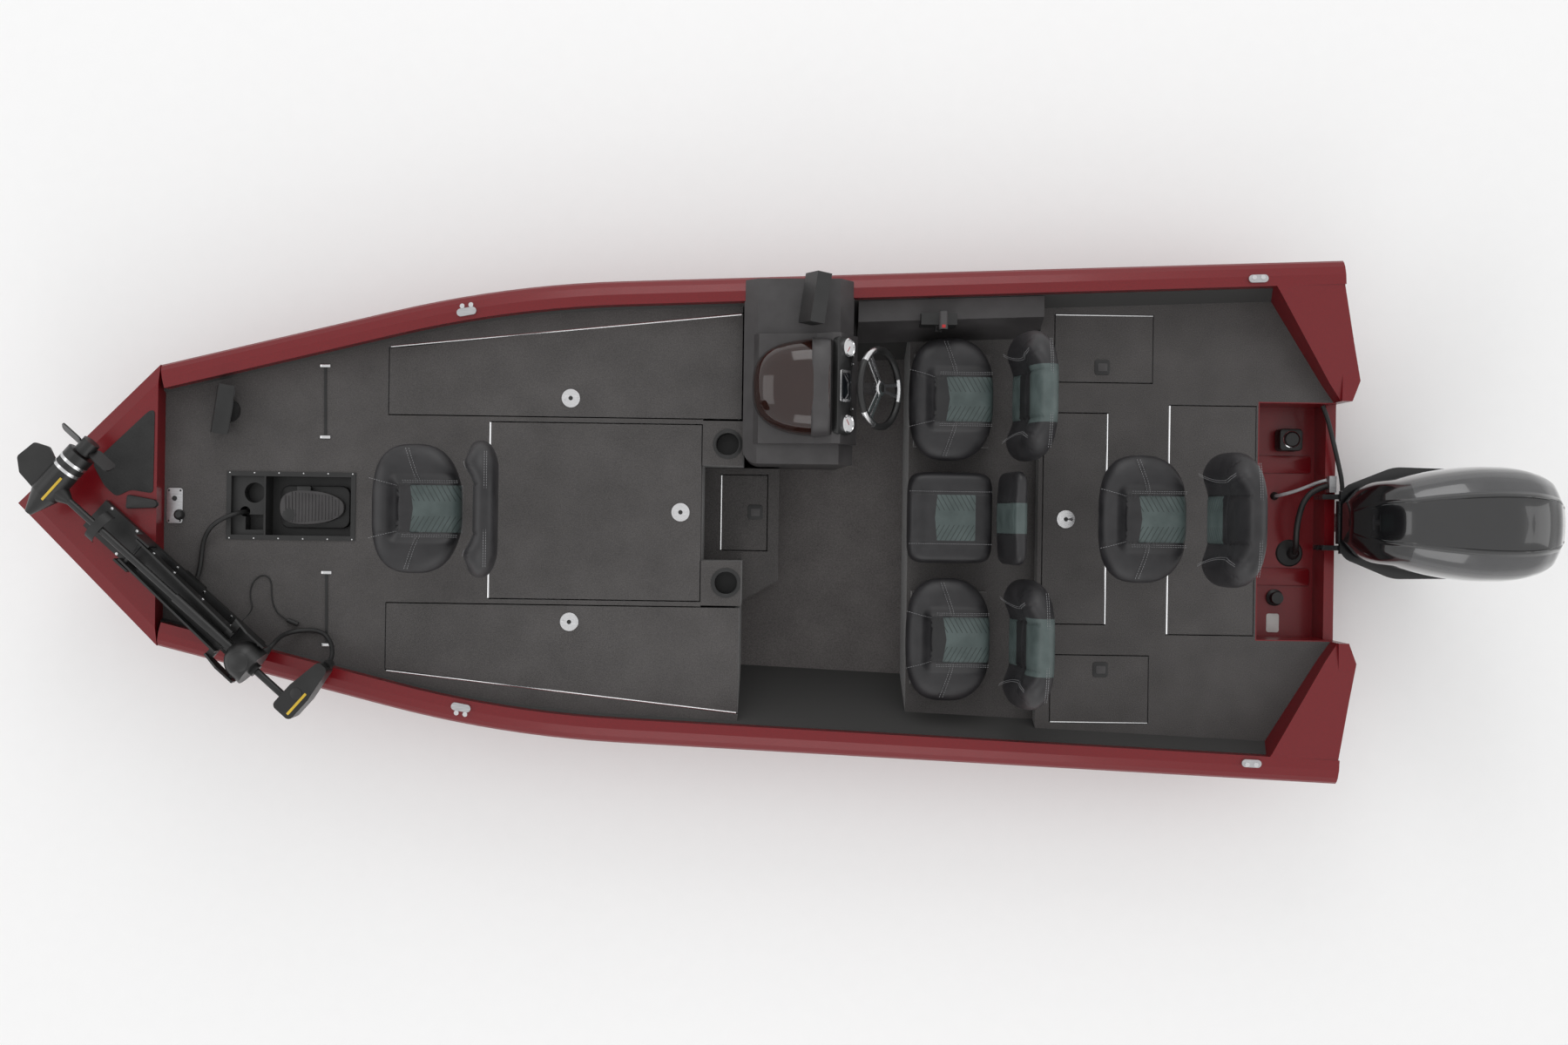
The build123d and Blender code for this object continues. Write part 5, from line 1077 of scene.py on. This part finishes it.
def finder(label, x, y, z):
    # a display on its bracket: case, glass and a row of keys on the tilted face
    yaw, pitch = math.radians(-8), math.radians(22)
    out = np.array([math.cos(pitch) * math.cos(yaw), math.cos(pitch) * math.sin(yaw), -math.sin(pitch)])
    right = np.array([-math.sin(yaw), math.cos(yaw), 0])
    up = np.cross(out, right)
    put = framePlace((x, y, z), right, up, out)
    boxPiece(label + "Bezel", (-0.092, -0.057, 0.026), (0.092, 0.057, 0.0315), 0.002, blackShell, "hull",
             put)
    boxPiece(label + "Glass", (-0.082, -0.047, 0.031), (0.046, 0.047, 0.0335), 0.001, screenGlass,
             "hull", put)
    for k in range(6):
        cy = -0.040 + 0.016 * k
        boxPiece(label + "Key%d" % k, (0.056, cy - 0.005, 0.031), (0.082, cy + 0.005, 0.0345), 0.001,
                 greyShell, "hull", put)


finder("helmFinder", 0.486, 0.815, 0.735)
finder("bowFinder", -1.803, 0.375, 0.560)

# bow motor
rail = {"pivot": (-2.109, -0.186, 0.700), "turn": 41.4}
q = math.radians(rail["turn"])
runDir, sideDir = np.array([-math.cos(q), math.sin(q), 0]), np.array([-math.sin(q), -math.cos(q), 0])
motorPlace = framePlace(rail["pivot"], runDir, sideDir, (0, 0, 1))


def motorLathe(name, profile, centre, axis, mat, body, cols=48):
    # the axis is given in the motor's own directions
    world = np.array(axis[0]) * runDir + np.array(axis[1]) * sideDir + np.array([0, 0, axis[2]])
    return lathe(name, profile, motorPlace(np.array(centre, float)), world, mat, body, cols)


for k, y in enumerate((-0.086, -0.122)):
    motorLathe("podBand%d" % k, [(0.0550, -0.007), (0.0566, -0.006), (0.0566, 0.006), (0.0550, 0.007)],
               (0.382, y, 0), (0, 1, 0), chrome, "motor")
motorLathe("podShoulder", [(0.040, -0.022), (0.030, 0.0), (0.020, 0.018), (0.0142, 0.030), (0.0142, -0.022)],
           (0.322, 0, 0), (-1, 0, 0), motorPaint, "motor")
boxPiece("podStripe", (0.352, -0.060, 0.0530), (0.362, 0.050, 0.0552), 0.0008, yellow, "motor", motorPlace)
boxPiece("headStripe", (-0.872, -0.075, 0.0455), (-0.862, 0.030, 0.0480), 0.0008, yellow, "motor",
         motorPlace)
motorLathe("headDial", [(0, 0), (0.022, 0), (0.022, 0.003), (0.016, 0.005), (0, 0.005)],
           (-0.840, -0.050, 0.0455), (0, 0, 1), blackShell, "motor")
motorLathe("headRelief", [(0.010, 0.0), (0.017, 0.004), (0.020, 0.020), (0.019, 0.040), (0.0, 0.041)],
           (-0.844, -0.200, -0.052), (0, 0.4, 1), rubber, "motor")
motorLathe("housingRelief", [(0.0, -0.004), (0.018, -0.002), (0.017, 0.016), (0.010, 0.034), (0.0, 0.034)],
           (-0.629, -0.055, -0.048), (0, -0.76, -0.66), rubber, "motor_collar")
motorLathe("housingCap", [(0, 0), (0.034, 0), (0.036, 0.004), (0.028, 0.010), (0, 0.011)],
           (-0.606, 0.0, 0.072), (0, 0, 1), blackShell, "motor_collar")
for k, x in enumerate((-0.470, -0.320, -0.170, -0.060)):
    for side in (-1, 1):
        motorLathe("armBolt%d_%d" % (k, side + 1), [(0, 0), (0.006, 0), (0.0055, 0.003), (0, 0.0035)],
                   (x, side * 0.054, -0.052 - x * 0.06 - 0.012), (0, side, 0), chrome, "motor_arm", 16)
for k, x in enumerate((-0.560, -0.430, -0.290, -0.150, 0.060, 0.190)):
    for side in (-1, 1):
        motorLathe("railBolt%d_%d" % (k, side + 1), [(0, 0), (0.006, 0), (0.0055, 0.003), (0, 0.0035)],
                   (x, side * 0.059, -0.112), (0, 0, 1), chrome, "hull", 16)
# the hold-down strap lies over the shaft near the pod
strapA = np.linspace(-1.15, 1.15, 24)
loopPath = np.stack([0.150 + 0 * strapA, 0.062 * np.sin(strapA * 1.3),
                     -0.040 + 0.058 * np.cos(strapA * 1.15)], -1)
flatWeb = [(-0.0012, -0.019), (0.0012, -0.019), (0.0012, 0.019), (-0.0012, 0.019)]
ringStack("holdDownStrap", motorPlace(along(loopPath, flatWeb, up=(1, 0, 0))), rubber, "motor")

# free cords
# diameters and lengths are in metres, the routes in millimetres
cords = {
    "bow_motor_pedal_cable": {"body": "hull", "diameter": 0.018, "length": 0.424,
        "end": "object", "stiffness": "limp", "finish": rubber, "route": [
        (-1742, -19, 405), (-1743, -20, 452), (-1762, -27, 502), (-1808, -47, 526), (-1858, -83, 522),
        (-1890, -135, 502), (-1900, -191, 492), (-1904, -241, 493), (-1914, -279, 494)]},
    "bow_motor_head_cable": {"body": "motor_collar", "diameter": 0.018, "length": 0.507,
        "end": "object", "stiffness": "limp", "finish": rubber, "route": [
        (-1598.5, -558.5, 649.5), (-1579, -536, 624), (-1570, -512, 582), (-1558, -496, 538),
        (-1530, -486, 504), (-1492, -482, 491), (-1450, -482, 490), (-1408, -494, 503),
        (-1378, -524, 532), (-1358, -556, 572), (-1355, -592, 612), (-1359, -611, 649)]},
    "bow_motor_pull_rope": {"body": "hull", "diameter": 0.005, "length": 0.469,
        "end": "tool", "stiffness": "limp", "finish": rubber, "route": [
        (-1713, -445, 574), (-1700, -430, 566), (-1692, -412, 530), (-1697, -394, 494.5),
        (-1706, -370, 483.5), (-1711, -336, 482.5), (-1701, -298, 483.5), (-1677, -272, 482.5),
        (-1647, -268, 483.5),
        (-1627, -292, 482.5), (-1626, -338, 483.5), (-1620, -384, 482.5), (-1597, -424, 483.5),
        (-1562, -442, 487)]},
    "engine_harness": {"body": "hull", "diameter": 0.024, "length": 0.401,
        "end": "object", "stiffness": "medium", "finish": rubber, "route": [
        (2476, -130, 173), (2473, -120, 222), (2459, -84, 268), (2452, -28, 296), (2456, 26, 312),
        (2468, 76, 321), (2496, 118, 326), (2540, 140, 327), (2562, 146, 327)]},
    "engine_fuel_hose": {"body": "hull", "diameter": 0.014, "length": 0.249,
        "end": "object", "stiffness": "medium", "finish": greyRubber, "route": [
        (2398, 106, 170.5), (2399, 107, 204), (2416, 112, 238), (2452, 124, 262), (2494, 142, 284),
        (2530, 160, 308), (2562, 170, 322)]},
    "engine_steering_cable": {"body": "hull", "diameter": 0.018, "length": 0.352,
        "end": "object", "stiffness": "stiff", "finish": rubber, "route": [
        (2532, 467, 350), (2548, 430, 352), (2566, 360, 356), (2582, 290, 360), (2598, 215, 366),
        (2608, 165, 368), (2610, 126, 368)]},
}
gripSleeve = tube("pullGripSleeve", [(-1.560, -0.443, 0.489), (-1.540, -0.451, 0.489),
                                     (-1.519, -0.4593, 0.489)], 0.0088, rubber, "hull")


def cordMesh(curveObj):
    # a cord that crosses a joint is a mesh; its path is the same curve without its bevel
    curve = curveObj.data
    radius, curve.bevel_depth = curve.bevel_depth, 0.0
    bpy.context.view_layer.update()
    deps = bpy.context.evaluated_depsgraph_get()
    line = bpy.data.meshes.new_from_object(curveObj.evaluated_get(deps))
    path = np.array([v.co[:] for v in line.vertices])
    curve.bevel_depth = radius
    bpy.context.view_layer.update()
    deps = bpy.context.evaluated_depsgraph_get()
    mesh = bpy.data.meshes.new_from_object(curveObj.evaluated_get(deps))
    mesh.polygons.foreach_set("use_smooth", [True] * len(mesh.polygons))
    obj = bpy.data.objects.new(curveObj.name + "Tube", mesh)
    bpy.context.scene.collection.objects.link(obj)
    bpy.data.objects.remove(curveObj)
    bpy.data.meshes.remove(line)
    return obj, path


for name, spec in cords.items():
    points, diameter, farEnd = spec["route"], spec["diameter"], spec["end"]
    curve = bpy.data.curves.new(name + "Cord", "CURVE")
    curve.dimensions = "3D"
    curve.bevel_depth = diameter / 2
    curve.bevel_resolution = 5
    curve.resolution_u = 14
    curve.use_fill_caps = True
    spline = curve.splines.new("NURBS")
    spline.points.add(len(points) - 1)
    flatPoints = np.column_stack([np.array(points, float) / 1000, np.ones(len(points))])
    spline.points.foreach_set("co", flatPoints.ravel())
    spline.order_u = 3
    spline.use_endpoint_u = True
    curve.materials.append(spec["finish"])
    obj = bpy.data.objects.new(name + "Cord", curve)
    bpy.context.scene.collection.objects.link(obj)
    path = None
    if name == "bow_motor_head_cable":
        obj, path = cordMesh(obj)
        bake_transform(obj)
    else:
        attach(obj, spec["body"])
    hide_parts(name)

# stern fittings
wellZ = 0.170
for k, y in enumerate((0.236, -0.226)):
    boxPiece("wellRib%d" % k, (2.275, y - 0.036, wellZ), (2.545, y + 0.036, wellZ + 0.008), 0.003, red,
             "hull")
boxPiece("pumpBody", (2.395, 0.290, wellZ), (2.490, 0.380, wellZ + 0.075), 0.008, blackShell, "hull")
lathe("pumpCap", [(0, 0), (0.030, 0), (0.032, 0.006), (0.026, 0.014), (0, 0.016)],
      (2.442, 0.336, wellZ + 0.074),
      (0, 0, 1), blackShell, "hull")
lathe("pumpRing", [(0.032, 0.002), (0.0345, 0.004), (0.032, 0.006)], (2.442, 0.336, wellZ + 0.074),
      (0, 0, 1), chrome, "hull")
lathe("wellFitting", [(0, 0), (0.034, 0), (0.034, 0.010), (0.024, 0.016), (0.024, 0.050), (0, 0.052)],
      (2.403, -0.312, wellZ), (0, 0, 1), blackShell, "hull")
lathe("wellGasket", [(0.030, 0), (0.056, 0), (0.050, 0.006), (0.030, 0.005)], (2.462, -0.128, wellZ),
      (0, 0, 1), rubber, "hull")
boxPiece("blankLabelWell", (2.372, -0.455, wellZ), (2.424, -0.378, wellZ + 0.0012), 0.0003, whiteLabel,
         "hull")
lathe("harnessGland", [(0.0, 0), (0.026, 0), (0.024, 0.018), (0.014, 0.030), (0.0, 0.030)],
      (2.476, -0.130, wellZ), (-0.06, 0.2, 1), rubber, "hull")
lathe("fuelGland", [(0.0, 0), (0.017, 0), (0.015, 0.014), (0.0085, 0.022), (0.0, 0.022)],
      (2.398, 0.106, wellZ), (0, 0, 1), blackShell, "hull")
lathe("fuelCap", [(0, -0.01), (0.029, -0.01), (0.030, 0.004), (0.024, 0.009), (0, 0.010)],
      (2.534, 0.683, 0.500), (0.03, -0.16, 1), blackShell, "hull")
for k, (x, y) in enumerate([(-0.860, 0.790), (-0.860, -0.790), (2.205, 0.944), (2.205, -0.944)]):
    slope = math.radians((9.0 if x < 0 else 0.9) * math.copysign(1, y))
    for hole in (-0.017, 0.017):
        lathe("cleatEye%d_%d" % (k, int(hole > 0)), [(0.006, 0), (0.010, 0), (0.009, 0.002), (0.006, 0.002)],
              (x + hole * math.cos(slope), y + hole * math.sin(slope), 0.572), (0, 0, 1), chrome, "hull",
              cols=20)
print("fittings done")
size = {"cad": [list(map(float, v)) for v in cadBox],
        "visual": [list(map(float, v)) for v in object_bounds()]}
